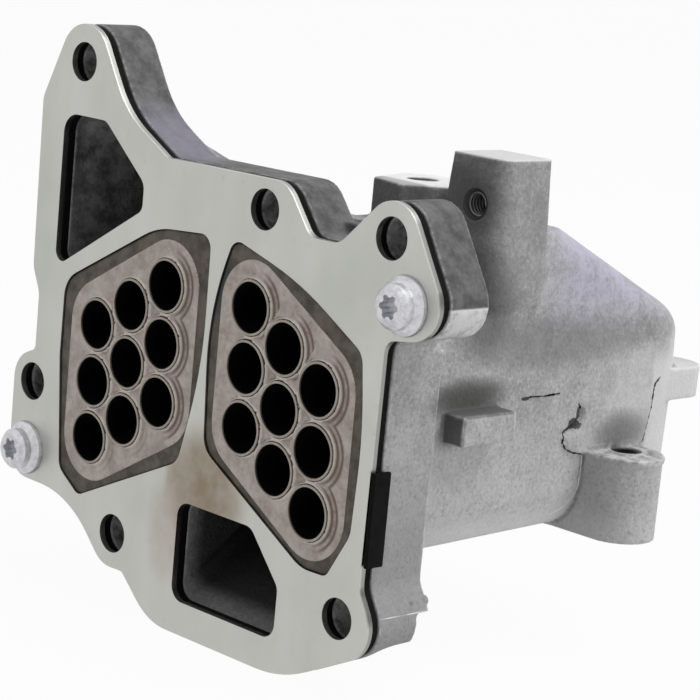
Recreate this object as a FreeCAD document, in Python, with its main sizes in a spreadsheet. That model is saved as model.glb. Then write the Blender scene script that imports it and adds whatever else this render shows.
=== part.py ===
import FreeCAD, Part
import Sketcher
import math
import os

# Exhaust gas recirculation cooler, in millimetres.
# The plate's front face is the plane Y = 0 and looks along -Y. X is to the right, Z is up.
# The origin lies on the web between the two header cut-outs, midway between the tube bundles.

SIZES = {
    # flange stack, front to back
    "plate_thickness": 1.5,
    "gasket_thickness": 2.0,
    "flange_thickness": 11.2,
    # bolts and screws
    "bolt_hole_dia": 8.8,
    "gasket_hole_extra": 0.6,
    "screw_dia": 6.0,
    "screw_hole_clearance": 0.4,
    "screw_thread_gap": 0.1,
    "screw_engagement": 7.0,
    "screw_tip_gap": 1.0,
    "screw_flange_dia": 12.2,
    "screw_flange_height": 1.6,
    "screw_head_dia": 9.4,
    "screw_head_height": 3.3,
    "seat_depth": 0.15,
    "seat_clearance": 0.2,
    "recess_core_dia": 3.9,
    "recess_lobe_dia": 1.3,
    "screw_recess_depth": 2.4,
    # tube bundles
    "tube_dia": 12.0,
    "tube_wall": 0.5,
    "tube_web": 1.05,
    "bundle_middle": 25.11,
    "bundle_height": -19.58,
    "right_bundle_rise": 0.36,
    "tube_proud": 0.9,
    "tube_tail": 0.4,
    "braze_gap": 0.05,
    # headers and return cap
    "header_fit": 0.05,
    "header_lap": 0.55,
    "band_depth": 0.4,
    "land_radius": 9.9,
    "collar_width": 0.45,
    "collar_height": 0.7,
    "rear_header_face": 66.0,
    "rear_header_thickness": 1.5,
    "rear_header_rim": 0.75,
    "cap_depth": 13.0,
    "cap_wall": 1.2,
    "cap_side": 0.6,
    "cap_taper": 8.0,
    # gasket tab on the plate's right-hand edge
    "tab_top": -26.3,
    "tab_length": 20.0,
    "tab_thickness": 1.1,
    "tab_depth": 4.8,
    "tab_gap": 0.1,
    "tab_neck": 2.0,
    "plate_right": 53.1,
    # housing casting
    "parting_height": -15.0,
    "side_room": 9.19,
    "floor_room": 3.75,
    "body_length": 106.0,
    "body_top": 20.6,
    "body_mid_top": 19.3,
    "body_low_top": 14.8,
    "body_corner": 14.0,
    "upper_draft": 2.5,
    "lower_draft": 1.5,
    "bottom_round": 12.0,
    "top_round": 7.0,
    "slope_start": 59.5,
    "slope_angle": 26.0,
    "low_slope_start": 48.0,
    "low_slope_angle": 10.0,
    "low_roof_right": 13.5,
    "mid_roof_right": 36.0,
    "floor_rise_angle": 1.4,
    "wall": 3.6,
    "rim_extra": 3.4,
    "rim_end": -57.3,
    "head_room_floor": 3.0,
    "bolt_b_room_right": 34.0,
    "bolt_b_room_back": 24.0,
    "block_top": 36.5,
    "block_width": 15.0,
    "block_depth": 15.0,
    "block_front": 33.0,
    "block_spread": 2.4,
    "block_side_share": 0.6,
    "block_inset": 0.5,
    "block_thread_dia": 5.0,
    "block_thread_depth": 12.0,
    "block_thread_height": 26.3,
    "block_thread_offset": 0.7,
    "boss_top": 27.8,
    "boss_thread_dia": 6.8,
    "boss_thread_depth": 11.0,
    "lug_radius": 8.5,
    "lug_reach": 4.6,
    "lug_place": 77.0,
    "lug_top": -28.7,
    "lug_height": 19.2,
    "lug_hole_dia": 7.0,
    "lug_hole_shift": 1.8,
    "lug_root": 14.0,
    "stop_front": 21.6,
    "stop_top": -15.8,
    "stop_height": 6.6,
    "stop_length": 16.2,
    "stop_width": 5.8,
    "stub_radius": 7.0,
    "stub_inset": 7.6,
    "stub_reach": -1.0,
    "stub_top": -12.6,
    "stub_height": 7.3,
    "stub_root": 12.0,
}

# Bolt and screw centres on the plate, in X and Z.
BOLTS = {
    "bolt_a": (-48.4, 44.8),
    "bolt_b": (15.0, 21.4),
    "bolt_c": (52.5, 21.6),
    "bolt_d": (-59.3, -31.0),
    "bolt_e": (-26.5, -59.4),
    "bolt_f": (47.1, -58.7),
}
SCREWS = {
    "screw_a": (-59.9, -47.0),
    "screw_b": (58.0, 9.0),
}

# An outline is a belt run clockwise round discs: (x, y, radius, side).
# OUT discs hold the belt from inside and make convex corners, IN discs press on it and make hollows.
OUT = -1
IN = 1


def near(point, dx, dy, radius, side=OUT):
    """A disc placed from a named centre, so that a lobe follows its bolt."""
    return (point[0] + dx, point[1] + dy, radius, side)


LOBE_F = (1.5, -0.7, 7.7)
PLATE_OUTLINE = [
    near(BOLTS["bolt_d"], 0.0, 0.0, 7.0),
    near(BOLTS["bolt_d"], -1.4, 8.75, 1.6, IN),
    (-65.1, -11.2, 6.0, IN),
    (-55.4, -2.7, 6.5, OUT),
    (-57.4, 34.1, 5.0, OUT),
    near(BOLTS["bolt_a"], 0.0, 0.0, 8.5),
    (-14.8, 54.7, 25.2, IN),
    (-16.9, 29.6, 2.0, IN),
    near(BOLTS["bolt_b"], 2.8, -0.3, 6.9),
    (31.1, 22.0, 4.0, IN),
    (35.6, 23.6, 5.6, IN),
    near(BOLTS["bolt_c"], 0.0, 0.0, 7.5),
    near(SCREWS["screw_b"], 1.7, 0.6, 7.5),
    (56.6, -2.0, 3.5, IN),
    (58.3, -49.7, 5.6, IN),
    near(BOLTS["bolt_f"], *LOBE_F),
    (24.1, -42.2, 34.0, OUT),
    (-5.9, -60.3, 15.9, OUT),
    (-22.9, -69.2, 2.0, IN),
    near(BOLTS["bolt_e"], 0.0, 0.0, 7.9),
    (-53.9, -80.8, 26.5, IN),
    near(SCREWS["screw_a"], 0.6, -0.2, 7.0),
]

UPPER_WINDOW = [
    (-49.5, 28.2, 4.5, OUT),
    (-40.4, 29.4, 3.3, OUT),
    (-27.8, 19.2, 3.3, OUT),
    (-27.0, 16.2, 2.5, OUT),
    (-51.6, 1.2, 2.4, OUT),
]

LOWER_WINDOW = [
    (-1.3, -49.8, 3.5, OUT),
    (17.5, -49.8, 3.5, OUT),
    (25.8, -58.2, 3.0, OUT),
    (25.3, -65.2, 3.5, OUT),
    (-1.3, -65.2, 3.5, OUT),
]

doc = FreeCAD.newDocument("egr_cooler")
sheet = doc.addObject("Spreadsheet::Sheet", "Sizes")
for row, (alias, number) in enumerate(SIZES.items(), start=1):
    sheet.set("A%d" % row, str(number))
    sheet.setAlias("A%d" % row, alias)
doc.recompute()


def size(alias):
    """The value of one cell."""
    return float(sheet.get(alias))


# Places worked out from the sheet

GASKET_FACE = size("plate_thickness")
FLANGE_FACE = GASKET_FACE + size("gasket_thickness")
FLANGE_BACK = FLANGE_FACE + size("flange_thickness")
TUBE_RADIUS = size("tube_dia") / 2
PITCH = size("tube_dia") + size("tube_web")
COLUMN_STEP = PITCH * math.sin(math.radians(60))
ROWS = 3
COLUMNS = 3


def tube_centres(side):
    """Nine centres of one bundle on a 60 degree lattice; side is -1 on the left and 1 on the right."""
    height = size("bundle_height")
    if side > 0:
        height += size("right_bundle_rise")
    centres = []
    for column in range(-1, COLUMNS - 1):
        for row in range(-1, ROWS - 1):
            x = side * (size("bundle_middle") + column * COLUMN_STEP)
            z = height - PITCH * (column / 2 + row)
            centres.append((x, z))
    return centres


def bundle_corners(side):
    """The bundle's four corner tubes, clockwise seen from the front."""
    centres = tube_centres(side)
    last = ROWS - 1
    inner_top = centres[0]
    inner_low = centres[last]
    outer_top = centres[ROWS * (COLUMNS - 1)]
    outer_low = centres[-1]
    if side < 0:
        return [outer_top, inner_top, inner_low, outer_low]
    return [inner_top, outer_top, outer_low, inner_low]


LEFT_TOP_OUT, LEFT_TOP_IN, LEFT_LOW_IN, LEFT_LOW_OUT = bundle_corners(-1)
RIGHT_TOP_IN, RIGHT_TOP_OUT, RIGHT_LOW_OUT, RIGHT_LOW_IN = bundle_corners(1)
BODY_HALF = RIGHT_TOP_OUT[0] + TUBE_RADIUS + size("side_room")
BODY_BOTTOM = LEFT_LOW_OUT[1] - TUBE_RADIUS - size("floor_room")

LEFT_CUTOUT = [
    near(LEFT_TOP_OUT, -6.59, 4.05, 6.8),
    near(LEFT_TOP_IN, 1.31, -9.6, 22.0),
    near(LEFT_TOP_IN, 9.71, 9.9, 3.2),
    near(LEFT_TOP_IN, -76.89, -5.0, 90.0),
    near(LEFT_LOW_IN, 3.31, -8.4, 5.0),
    near(LEFT_LOW_OUT, -3.19, -11.55, 2.6),
    near(LEFT_LOW_OUT, -7.19, -7.35, 4.0),
    near(LEFT_TOP_OUT, 6.51, -8.95, 20.0),
]

RIGHT_CUTOUT = [
    near(RIGHT_TOP_IN, -5.51, 9.74, 3.2),
    near(RIGHT_TOP_IN, -16.31, -66.96, 80.0),
    near(RIGHT_TOP_OUT, 6.99, 7.09, 4.4),
    near(RIGHT_TOP_OUT, -87.01, -11.31, 100.0),
    near(RIGHT_LOW_OUT, 6.89, -0.21, 5.5),
    near(RIGHT_LOW_OUT, 4.99, -9.81, 2.3),
    near(RIGHT_LOW_OUT, 1.09, -2.21, 10.0),
    near(RIGHT_LOW_IN, -6.51, -3.86, 5.6),
    near(RIGHT_TOP_IN, 46.89, -12.36, 60.0),
]


# Outlines

def belt(discs, grow=0.0):
    """Lines and arcs of a belt run clockwise round the discs, moved outwards by grow.

    A disc of no radius makes a sharp corner."""
    signed = [(x, y, side * (radius - side * grow)) for x, y, radius, side in discs]
    runs = []
    for here, there in zip(signed, signed[1:] + signed[:1]):
        dx = there[0] - here[0]
        dy = there[1] - here[1]
        tilt = math.asin((there[2] - here[2]) / math.hypot(dx, dy))
        heading = math.atan2(dy, dx) - tilt
        normal = (-math.sin(heading), math.cos(heading))
        start = FreeCAD.Vector(here[0] - here[2] * normal[0], here[1] - here[2] * normal[1], 0)
        end = FreeCAD.Vector(there[0] - there[2] * normal[0], there[1] - there[2] * normal[1], 0)
        runs.append((start, end))
    shapes = []
    for index, disc in enumerate(signed):
        arrive = runs[index - 1][1]
        leave = runs[index][0]
        if disc[2]:
            centre = FreeCAD.Vector(disc[0], disc[1], 0)
            circle = Part.Circle(centre, FreeCAD.Vector(0, 0, 1), abs(disc[2]))
            first = circle.parameter(leave if disc[2] < 0 else arrive)
            last = circle.parameter(arrive if disc[2] < 0 else leave)
            if last < first:
                last += 2 * math.pi
            shapes.append(Part.ArcOfCircle(circle, first, last))
        shapes.append(Part.LineSegment(*runs[index]))
    return shapes


def loop(points):
    """A closed run of straight lines through the points."""
    corners = [FreeCAD.Vector(x, y, 0) for x, y in points]
    return [Part.LineSegment(a, b) for a, b in zip(corners, corners[1:] + corners[:1])]


def rectangle(x_low, x_high, y_low, y_high):
    return loop([(x_low, y_low), (x_high, y_low), (x_high, y_high), (x_low, y_high)])


def rounds(centres, radius):
    """A belt of equal discs round the centres, which run clockwise."""
    return [(x, y, radius, OUT) for x, y in centres]


# Features

def new_body(label):
    body = doc.addObject("PartDesign::Body", label)
    body.Label = label
    return body


def sketch_on(body, role, name, shapes, offset="0"):
    """A sketch on one of the body's origin planes, moved along the plane's normal by a sheet expression."""
    plane = [item for item in body.Origin.OriginFeatures if item.Role == role][0]
    sketch = body.newObject("Sketcher::SketchObject", name)
    sketch.AttachmentSupport = [(plane, "")]
    sketch.MapMode = "FlatFace"
    sketch.setExpression(".AttachmentOffset.Base.z", offset)
    sketch.addGeometry(shapes, False)
    return sketch


def add_circle(sketch, centre, diameter):
    """A circle held by its centre's two distances and by a diameter from the sheet."""
    circle = Part.Circle(FreeCAD.Vector(centre[0], centre[1], 0), FreeCAD.Vector(0, 0, 1), 1.0)
    index = sketch.addGeometry(circle, False)
    radius = sketch.addConstraint(Sketcher.Constraint("Diameter", index, 2.0))
    sketch.addConstraint(Sketcher.Constraint("DistanceX", index, 3, centre[0]))
    sketch.addConstraint(Sketcher.Constraint("DistanceY", index, 3, centre[1]))
    sketch.setExpression("Constraints[%d]" % radius, diameter)


def extrude(body, kind, name, sketch, length, back=True, taper=None):
    """A pad or pocket; back means towards +Y from an XZ sketch and down from an XY sketch."""
    feature = body.newObject("PartDesign::" + kind, name)
    feature.Profile = sketch
    feature.setExpression("Length", length)
    feature.Reversed = back if kind == "Pad" else not back
    if taper:
        feature.setExpression("TaperAngle", taper)
    return feature


def loft(body, kind, name, sketches):
    """A ruled loft through sketches with the same number of edges."""
    feature = body.newObject("PartDesign::" + kind, name)
    feature.Profile = sketches[0]
    feature.Sections = sketches[1:]
    feature.Ruled = True
    return feature


def edges_where(shape, test):
    """Names of the edges whose every sample point passes the test."""
    names = []
    for index, edge in enumerate(shape.Edges, start=1):
        samples = edge.discretize(Number=5)
        if all(test(point) for point in samples):
            names.append("Edge%d" % index)
    return names


def round_edges(body, name, base, test, radius):
    doc.recompute()
    feature = body.newObject("PartDesign::Fillet", name)
    feature.Base = (base, edges_where(base.Shape, test))
    feature.setExpression("Radius", radius)
    return feature


def at_plane(y):
    """Expression text for a sheet expression that puts an XZ sketch at the given Y."""
    return "-(%s)" % y


FLANGE_AT = "Sizes.plate_thickness + Sizes.gasket_thickness"
FLANGE_END = FLANGE_AT + " + Sizes.flange_thickness"


# Flange plate: one stainless sheet

def make_plate():
    body = new_body("flange_plate")
    outline = sketch_on(body, "XZ_Plane", "plate_outline", belt(PLATE_OUTLINE))
    extrude(body, "Pad", "plate_sheet", outline, "Sizes.plate_thickness")
    windows = belt(UPPER_WINDOW) + belt(LOWER_WINDOW) + belt(LEFT_CUTOUT) + belt(RIGHT_CUTOUT)
    cuts = sketch_on(body, "XZ_Plane", "plate_windows", windows)
    extrude(body, "Pocket", "plate_openings", cuts, "Sizes.plate_thickness")
    holes = sketch_on(body, "XZ_Plane", "plate_holes", [])
    for centre in BOLTS.values():
        add_circle(holes, centre, "Sizes.bolt_hole_dia")
    for centre in SCREWS.values():
        add_circle(holes, centre, "Sizes.screw_dia + Sizes.screw_hole_clearance")
    extrude(body, "Pocket", "plate_bolt_holes", holes, "Sizes.plate_thickness")
    seats = sketch_on(body, "XZ_Plane", "screw_seats", [])
    for centre in SCREWS.values():
        add_circle(seats, centre, "Sizes.screw_flange_dia + Sizes.seat_clearance")
    extrude(body, "Pocket", "pressed_seats", seats, "Sizes.seat_depth")
    return body


# Chamber openings in the casting's front face

def core_discs(shrink=0.0, drop=0.0):
    """Outline of the main chamber at the flange, round both bundles with a notch below the web."""
    small = TUBE_RADIUS - shrink
    return [
        near(LEFT_TOP_OUT, -4.1, 0.55 - drop, small + 1.0),
        near(LEFT_TOP_IN, -1.2, 2.0 - drop, small + 2.0),
        near(RIGHT_TOP_IN, 1.2, 1.64 - drop, small + 2.0),
        near(RIGHT_TOP_OUT, 4.1, 0.2 - drop, small + 1.0),
        near(RIGHT_LOW_OUT, 1.6, 1.7, small + 3.5),
        near((0.0, LEFT_LOW_OUT[1]), 0.0, -2.85, TUBE_RADIUS + 2.0 + shrink, IN),
        near(LEFT_LOW_OUT, -1.6, 2.05, small + 3.5),
    ]


# Gasket: one moulding, with the tab over the plate's edge

GASKET_INSET = 0.4
HEADER_CLEARANCE = 0.4


def make_gasket():
    body = new_body("gasket")
    outline = sketch_on(body, "XZ_Plane", "gasket_outline", belt(PLATE_OUTLINE, -GASKET_INSET),
                        at_plane("Sizes.plate_thickness"))
    extrude(body, "Pad", "gasket_sheet", outline, "Sizes.gasket_thickness")
    lap = size("header_lap") + HEADER_CLEARANCE
    notch = (1.5, -38.0, 3.0, IN)
    header_room = LEFT_CUTOUT[5:] + LEFT_CUTOUT[:3] + RIGHT_CUTOUT[:7] + [notch]
    openings = belt(UPPER_WINDOW) + belt(LOWER_WINDOW) + belt(header_room, lap)
    cuts = sketch_on(body, "XZ_Plane", "gasket_openings", openings, at_plane("Sizes.plate_thickness"))
    extrude(body, "Pocket", "gasket_windows", cuts, "Sizes.gasket_thickness")
    holes = sketch_on(body, "XZ_Plane", "gasket_holes", [], at_plane("Sizes.plate_thickness"))
    for centre in BOLTS.values():
        add_circle(holes, centre, "Sizes.bolt_hole_dia + Sizes.gasket_hole_extra")
    for centre in SCREWS.values():
        add_circle(holes, centre, "Sizes.screw_dia + Sizes.screw_hole_clearance")
    extrude(body, "Pocket", "gasket_bolt_holes", holes, "Sizes.gasket_thickness")
    edge = size("plate_right") + size("tab_gap")
    tab_low = size("tab_top") - size("tab_length")
    tab = rectangle(edge, edge + size("tab_thickness"), tab_low, size("tab_top"))
    tab_sketch = sketch_on(body, "XZ_Plane", "gasket_tab", tab)
    extrude(body, "Pad", "gasket_tab_pad", tab_sketch, "Sizes.tab_depth")
    neck = rectangle(edge - size("tab_neck"), edge + size("tab_thickness"), tab_low, size("tab_top"))
    neck_sketch = sketch_on(body, "XZ_Plane", "gasket_neck", neck, at_plane("Sizes.plate_thickness"))
    extrude(body, "Pad", "gasket_neck_pad", neck_sketch, "Sizes.gasket_thickness")
    return body


# Gas-side headers

def make_header(label, side, cutout):
    body = new_body(label)
    fit = -size("header_fit")
    rim = sketch_on(body, "XZ_Plane", label + "_rim", belt(cutout, size("header_lap")),
                    at_plane("Sizes.plate_thickness"))
    extrude(body, "Pad", label + "_flange", rim, "Sizes.gasket_thickness")
    spigot = sketch_on(body, "XZ_Plane", label + "_spigot", belt(cutout, fit),
                       at_plane("Sizes.band_depth"))
    extrude(body, "Pad", label + "_band", spigot, "Sizes.plate_thickness - Sizes.band_depth")
    land = rounds(bundle_corners(side), size("land_radius"))
    face = sketch_on(body, "XZ_Plane", label + "_face", belt(land))
    extrude(body, "Pad", label + "_land", face, "Sizes.band_depth")
    collars = sketch_on(body, "XZ_Plane", label + "_collars", [])
    for centre in tube_centres(side):
        add_circle(collars, centre, "Sizes.tube_dia + 2 * Sizes.collar_width")
    extrude(body, "Pad", label + "_rings", collars, "Sizes.collar_height", back=False)
    holes = sketch_on(body, "XZ_Plane", label + "_holes", [], "Sizes.collar_height + 1")
    for centre in tube_centres(side):
        add_circle(holes, centre, "Sizes.tube_dia + 2 * Sizes.braze_gap")
    extrude(body, "Pocket", label + "_bores", holes, FLANGE_AT + " + Sizes.collar_height + 2")
    return body


# Gas tubes

def make_tube(label, centre):
    length = "Sizes.tube_proud + Sizes.rear_header_face + Sizes.rear_header_thickness + Sizes.tube_tail"
    body = new_body(label)
    ring = sketch_on(body, "XZ_Plane", label + "_ring", [], "Sizes.tube_proud")
    add_circle(ring, centre, "Sizes.tube_dia")
    add_circle(ring, centre, "Sizes.tube_dia - 2 * Sizes.tube_wall")
    extrude(body, "Pad", label + "_wall", ring, length)
    return body


# Rear header and return cap

def bundle_outline(radius):
    """Round both bundles, with a notch between them below."""
    left = bundle_corners(-1)
    right = bundle_corners(1)
    return [
        (*left[0], radius, OUT),
        (*left[1], radius, OUT),
        (*right[0], radius, OUT),
        (*right[1], radius, OUT),
        (*right[2], radius, OUT),
        (0.0, right[2][1], TUBE_RADIUS, IN),
        (*left[3], radius, OUT),
    ]


def make_rear_header():
    """One sheet with a hole for every tube."""
    body = new_body("rear_header")
    face = "Sizes.rear_header_face"
    thickness = "Sizes.rear_header_thickness"
    rim = TUBE_RADIUS + size("rear_header_rim")
    outline = sketch_on(body, "XZ_Plane", "rear_outline", belt(bundle_outline(rim)), at_plane(face))
    extrude(body, "Pad", "rear_sheet", outline, thickness)
    holes = sketch_on(body, "XZ_Plane", "rear_holes", [], at_plane(face))
    for side in (-1, 1):
        for centre in tube_centres(side):
            add_circle(holes, centre, "Sizes.tube_dia + 2 * Sizes.braze_gap")
    extrude(body, "Pocket", "rear_bores", holes, thickness)
    return body


def make_cap():
    body = new_body("return_cap")
    face = "Sizes.rear_header_face + Sizes.rear_header_thickness"
    rim = TUBE_RADIUS + size("rear_header_rim")
    outer = sketch_on(body, "XZ_Plane", "cap_outer", belt(bundle_outline(rim)), at_plane(face))
    extrude(body, "Pad", "cap_pan", outer, "Sizes.cap_depth", taper="-Sizes.cap_taper")
    inner_rim = rim - size("cap_side")
    inner = sketch_on(body, "XZ_Plane", "cap_inner", belt(bundle_outline(inner_rim)), at_plane(face))
    extrude(body, "Pocket", "cap_hollow", inner, "Sizes.cap_depth - Sizes.cap_wall",
            taper="-Sizes.cap_taper")
    return body


# Flange screws: one node of two solids

def make_screws():
    profiles = []
    seat = size("seat_depth")
    flange_start = seat - size("screw_flange_height")
    head_start = flange_start - size("screw_head_height")
    tip = FLANGE_FACE + size("screw_engagement")
    shank = size("screw_dia") / 2 - size("screw_thread_gap") / 2
    flange_radius = size("screw_flange_dia") / 2
    head_radius = size("screw_head_dia") / 2
    edge_round = 1.0
    outline = [
        (0, head_start),
        (head_radius - edge_round, head_start),
        (head_radius, head_start + edge_round),
        (head_radius, flange_start - 0.6),
        (flange_radius, flange_start + 0.5),
        (flange_radius, seat),
        (shank, seat),
        (shank, tip - 1.0),
        (shank - 0.8, tip),
        (0, tip),
    ]
    axis = FreeCAD.Vector(0, 1, 0)
    core = size("recess_core_dia") / 2
    lobe = size("recess_lobe_dia") / 2
    depth = size("screw_recess_depth")
    mouth = FreeCAD.Vector(0, head_start, 0)
    star = Part.makeCylinder(core, depth, mouth, axis)
    for step in range(6):
        turn = math.radians(60 * step)
        centre = mouth + FreeCAD.Vector(core * math.cos(turn), 0, core * math.sin(turn))
        star = star.fuse(Part.makeCylinder(lobe, depth, centre, axis))
    for centre in SCREWS.values():
        points = [FreeCAD.Vector(radius, along, 0) for radius, along in outline]
        face = Part.Face(Part.makePolygon(points + points[:1]))
        screw = face.revolve(FreeCAD.Vector(0, 0, 0), axis, 360).cut(star)
        screw.translate(FreeCAD.Vector(centre[0], 0, centre[1]))
        profiles.append(screw)
    group = doc.addObject("Part::Feature", "flange_screws")
    group.Label = "flange_screws"
    group.Shape = Part.makeCompound(profiles)
    return group


# Housing casting

CHAMBER_BACK = 50.0
POCKET_BACK = 34.0
CHAMBER_REAR = [
    (-42.5, 5.6, 5.0, OUT),
    (-34.0, 8.0, 3.3, OUT),
    (-24.0, 7.3, 3.3, OUT),
    (-24.0, -5.0, 2.5, OUT),
    (-45.0, -5.0, 2.4, OUT),
]
POCKET_REAR = [
    (-1.3, -38.8, 3.5, OUT),
    (17.5, -38.8, 3.5, OUT),
    (25.8, -41.0, 3.0, OUT),
    (25.3, -43.2, 3.5, OUT),
    (-1.3, -43.2, 3.5, OUT),
]
BODY_START = 10.0
BOSS_HOLE = (19.6, 41.8)


def plan_discs():
    """The casting seen from above, with round rear corners."""
    half = BODY_HALF
    corner = size("body_corner")
    back = size("body_length") - corner
    return [
        (-half, BODY_START, 0.0, OUT),
        (-(half - corner), back, corner, OUT),
        (half - corner, back, corner, OUT),
        (half, BODY_START, 0.0, OUT),
    ]


def rim_shapes():
    """The plate outline from below screw_b to the parting line beside bolt_f, closed clear of the bolt."""
    shapes = belt(PLATE_OUTLINE)
    lobe = PLATE_OUTLINE.index(near(BOLTS["bolt_f"], *LOBE_F))
    kept = shapes[2 * lobe - 3:2 * lobe]
    lobe_x, lobe_z, lobe_radius, _ = PLATE_OUTLINE[lobe]
    cut = math.asin((size("rim_end") - lobe_z) / lobe_radius)
    circle = Part.Circle(FreeCAD.Vector(lobe_x, lobe_z, 0), FreeCAD.Vector(0, 0, 1), lobe_radius)
    arc = Part.ArcOfCircle(circle, cut, circle.parameter(kept[-1].EndPoint))
    start = kept[0].StartPoint
    inner = BOLTS["bolt_f"][0] + size("bolt_hole_dia") / 2 + 0.9
    hidden = BODY_HALF - size("wall")
    corners = [
        arc.StartPoint,
        FreeCAD.Vector(inner, size("rim_end"), 0),
        FreeCAD.Vector(inner, BODY_BOTTOM - 3.0, 0),
        FreeCAD.Vector(hidden, BODY_BOTTOM + 3.0, 0),
        FreeCAD.Vector(hidden, start.y, 0),
        start,
    ]
    return kept + [arc] + [Part.LineSegment(a, b) for a, b in zip(corners, corners[1:])]


def make_housing():
    body = new_body("housing")

    # The two halves of the mould meet at the parting height, and each half draws away from it.
    upper = sketch_on(body, "XY_Plane", "upper_plan", belt(plan_discs()), "Sizes.parting_height")
    extrude(body, "Pad", "upper_half", upper, "Sizes.body_top - Sizes.parting_height",
            back=False, taper="-Sizes.upper_draft")
    lower = sketch_on(body, "XY_Plane", "lower_plan", belt(plan_discs()), "Sizes.parting_height")
    extrude(body, "Pad", "lower_half", lower, "Sizes.parting_height - (%g)" % BODY_BOTTOM,
            back=True, taper="-Sizes.lower_draft")

    # The roof falls to the rear.
    far = 2 * size("body_length")
    fall = far * math.tan(math.radians(size("slope_angle")))
    start = size("slope_start")
    top = size("body_top")
    roof = [(start, top), (start + far, top - fall), (start + far, top + 10), (start, top + 10)]
    roof_cut = sketch_on(body, "YZ_Plane", "roof_line", loop(roof))
    roof_pocket = body.newObject("PartDesign::Pocket", "roof_slope")
    roof_pocket.Profile = roof_cut
    roof_pocket.Type = "ThroughAll"
    roof_pocket.Midplane = True

    # The floor rises a little to the rear.
    bottom = BODY_BOTTOM
    rise = far * math.tan(math.radians(size("floor_rise_angle")))
    floor = [(30.0, bottom), (30.0 + far, bottom + rise), (30.0 + far, bottom - 10), (30.0, bottom - 10)]
    floor_cut = sketch_on(body, "YZ_Plane", "floor_line", loop(floor))
    floor_pocket = body.newObject("PartDesign::Pocket", "floor_slope")
    floor_pocket.Profile = floor_cut
    floor_pocket.Type = "ThroughAll"
    floor_pocket.Midplane = True

    lower_edges = round_edges(body, "bottom_edges", floor_pocket,
                              lambda point: point.z < bottom + 3.5 and point.y > 20,
                              "Sizes.bottom_round")

    def roof_edge(point):
        height = top - max(0.0, point.y - start) * math.tan(math.radians(size("slope_angle")))
        return abs(point.z - height) < 0.2 and point.y > start - 0.1 and point.x > 0

    round_edges(body, "roof_edges", lower_edges, roof_edge, "Sizes.top_round")

    # On the left the roof starts lower and falls more gently.
    low_fall = far * math.tan(math.radians(size("low_slope_angle")))
    low_start = size("low_slope_start")
    low_top = size("body_low_top")
    low_roof = [
        (FLANGE_BACK, low_top),
        (low_start, low_top),
        (low_start + far, low_top - low_fall),
        (low_start + far, top + 10),
        (FLANGE_BACK, top + 10),
    ]
    low_cut = sketch_on(body, "YZ_Plane", "low_roof_line", loop(low_roof), "Sizes.low_roof_right")
    extrude(body, "Pocket", "low_roof", low_cut, "90", back=True)
    mid_left = size("low_roof_right") - 0.1
    mid = rectangle(mid_left, size("mid_roof_right"), FLANGE_BACK, far)
    mid_cut = sketch_on(body, "XY_Plane", "mid_roof_plan", mid, "Sizes.body_mid_top")
    extrude(body, "Pocket", "mid_roof", mid_cut, "40", back=False)

    # Room for the heads of bolt_b, bolt_c and screw_b behind the flange.
    room_right = size("bolt_b_room_right")
    head_room = rectangle(mid_left, room_right, FLANGE_BACK, size("bolt_b_room_back"))
    head_cut = sketch_on(body, "XY_Plane", "bolt_b_room", head_room, "Sizes.body_low_top")
    extrude(body, "Pocket", "bolt_b_clearance", head_cut, "40", back=False)
    front = size("block_front")
    right = BODY_HALF - size("block_inset")
    head_room = [
        (room_right, FLANGE_BACK),
        (70.0, FLANGE_BACK),
        (70.0, front + 5.0),
        (right + 0.6, front + 5.0),
        (right - 0.2, front + 3.2),
        (right - 1.2, front + 1.2),
        (right - 3.2, front + 0.2),
        (right - 5.0, front),
        (room_right, front),
    ]
    head_cut = sketch_on(body, "XY_Plane", "bolt_c_room", loop(head_room), "Sizes.head_room_floor")
    extrude(body, "Pocket", "bolt_c_clearance", head_cut, "40", back=False)

    # Flange, deeper along the right-hand edge and behind bolt_f
    flange = sketch_on(body, "XZ_Plane", "flange_outline", belt(PLATE_OUTLINE), at_plane(FLANGE_AT))
    extrude(body, "Pad", "flange", flange, "Sizes.flange_thickness")
    rim = sketch_on(body, "XZ_Plane", "rim_outline", rim_shapes(), at_plane(FLANGE_AT))
    extrude(body, "Pad", "flange_rim", rim, "Sizes.flange_thickness + Sizes.rim_extra")

    # Hood over the upper window's chamber, and the sump behind the lower window
    wall = size("wall")
    hood_front = sketch_on(body, "XZ_Plane", "hood_front", belt(UPPER_WINDOW, wall), "-%g" % BODY_START)
    hood_rear = sketch_on(body, "XZ_Plane", "hood_rear", belt(CHAMBER_REAR, wall),
                          "-%g" % (CHAMBER_BACK + wall))
    loft(body, "AdditiveLoft", "hood", [hood_front, hood_rear])
    sump_front = sketch_on(body, "XZ_Plane", "sump_front", belt(LOWER_WINDOW, wall), "-%g" % BODY_START)
    sump_rear = sketch_on(body, "XZ_Plane", "sump_rear", belt(POCKET_REAR, wall),
                          "-%g" % (POCKET_BACK + wall))
    loft(body, "AdditiveLoft", "sump", [sump_front, sump_rear])

    # Tall block with the threaded hole
    spread = size("block_spread")
    side_share = size("block_side_share")
    left = right - size("block_width")
    rear = front + size("block_depth")

    def block_outline(grow):
        return [
            (left + 0.8, front + 0.8, 0.8 + grow, OUT),
            (left + 0.8, rear - 0.8, 0.8 + grow, OUT),
            (right - 0.8, rear - 0.8, 0.8 + grow * side_share, OUT),
            (right - 4.0, front + 4.0, 4.0 + grow * side_share, OUT),
        ]

    foot = sketch_on(body, "XY_Plane", "block_foot", belt(block_outline(spread)), "5")
    head = sketch_on(body, "XY_Plane", "block_head", belt(block_outline(0.0)), "Sizes.block_top")
    loft(body, "AdditiveLoft", "block", [foot, head])

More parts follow.
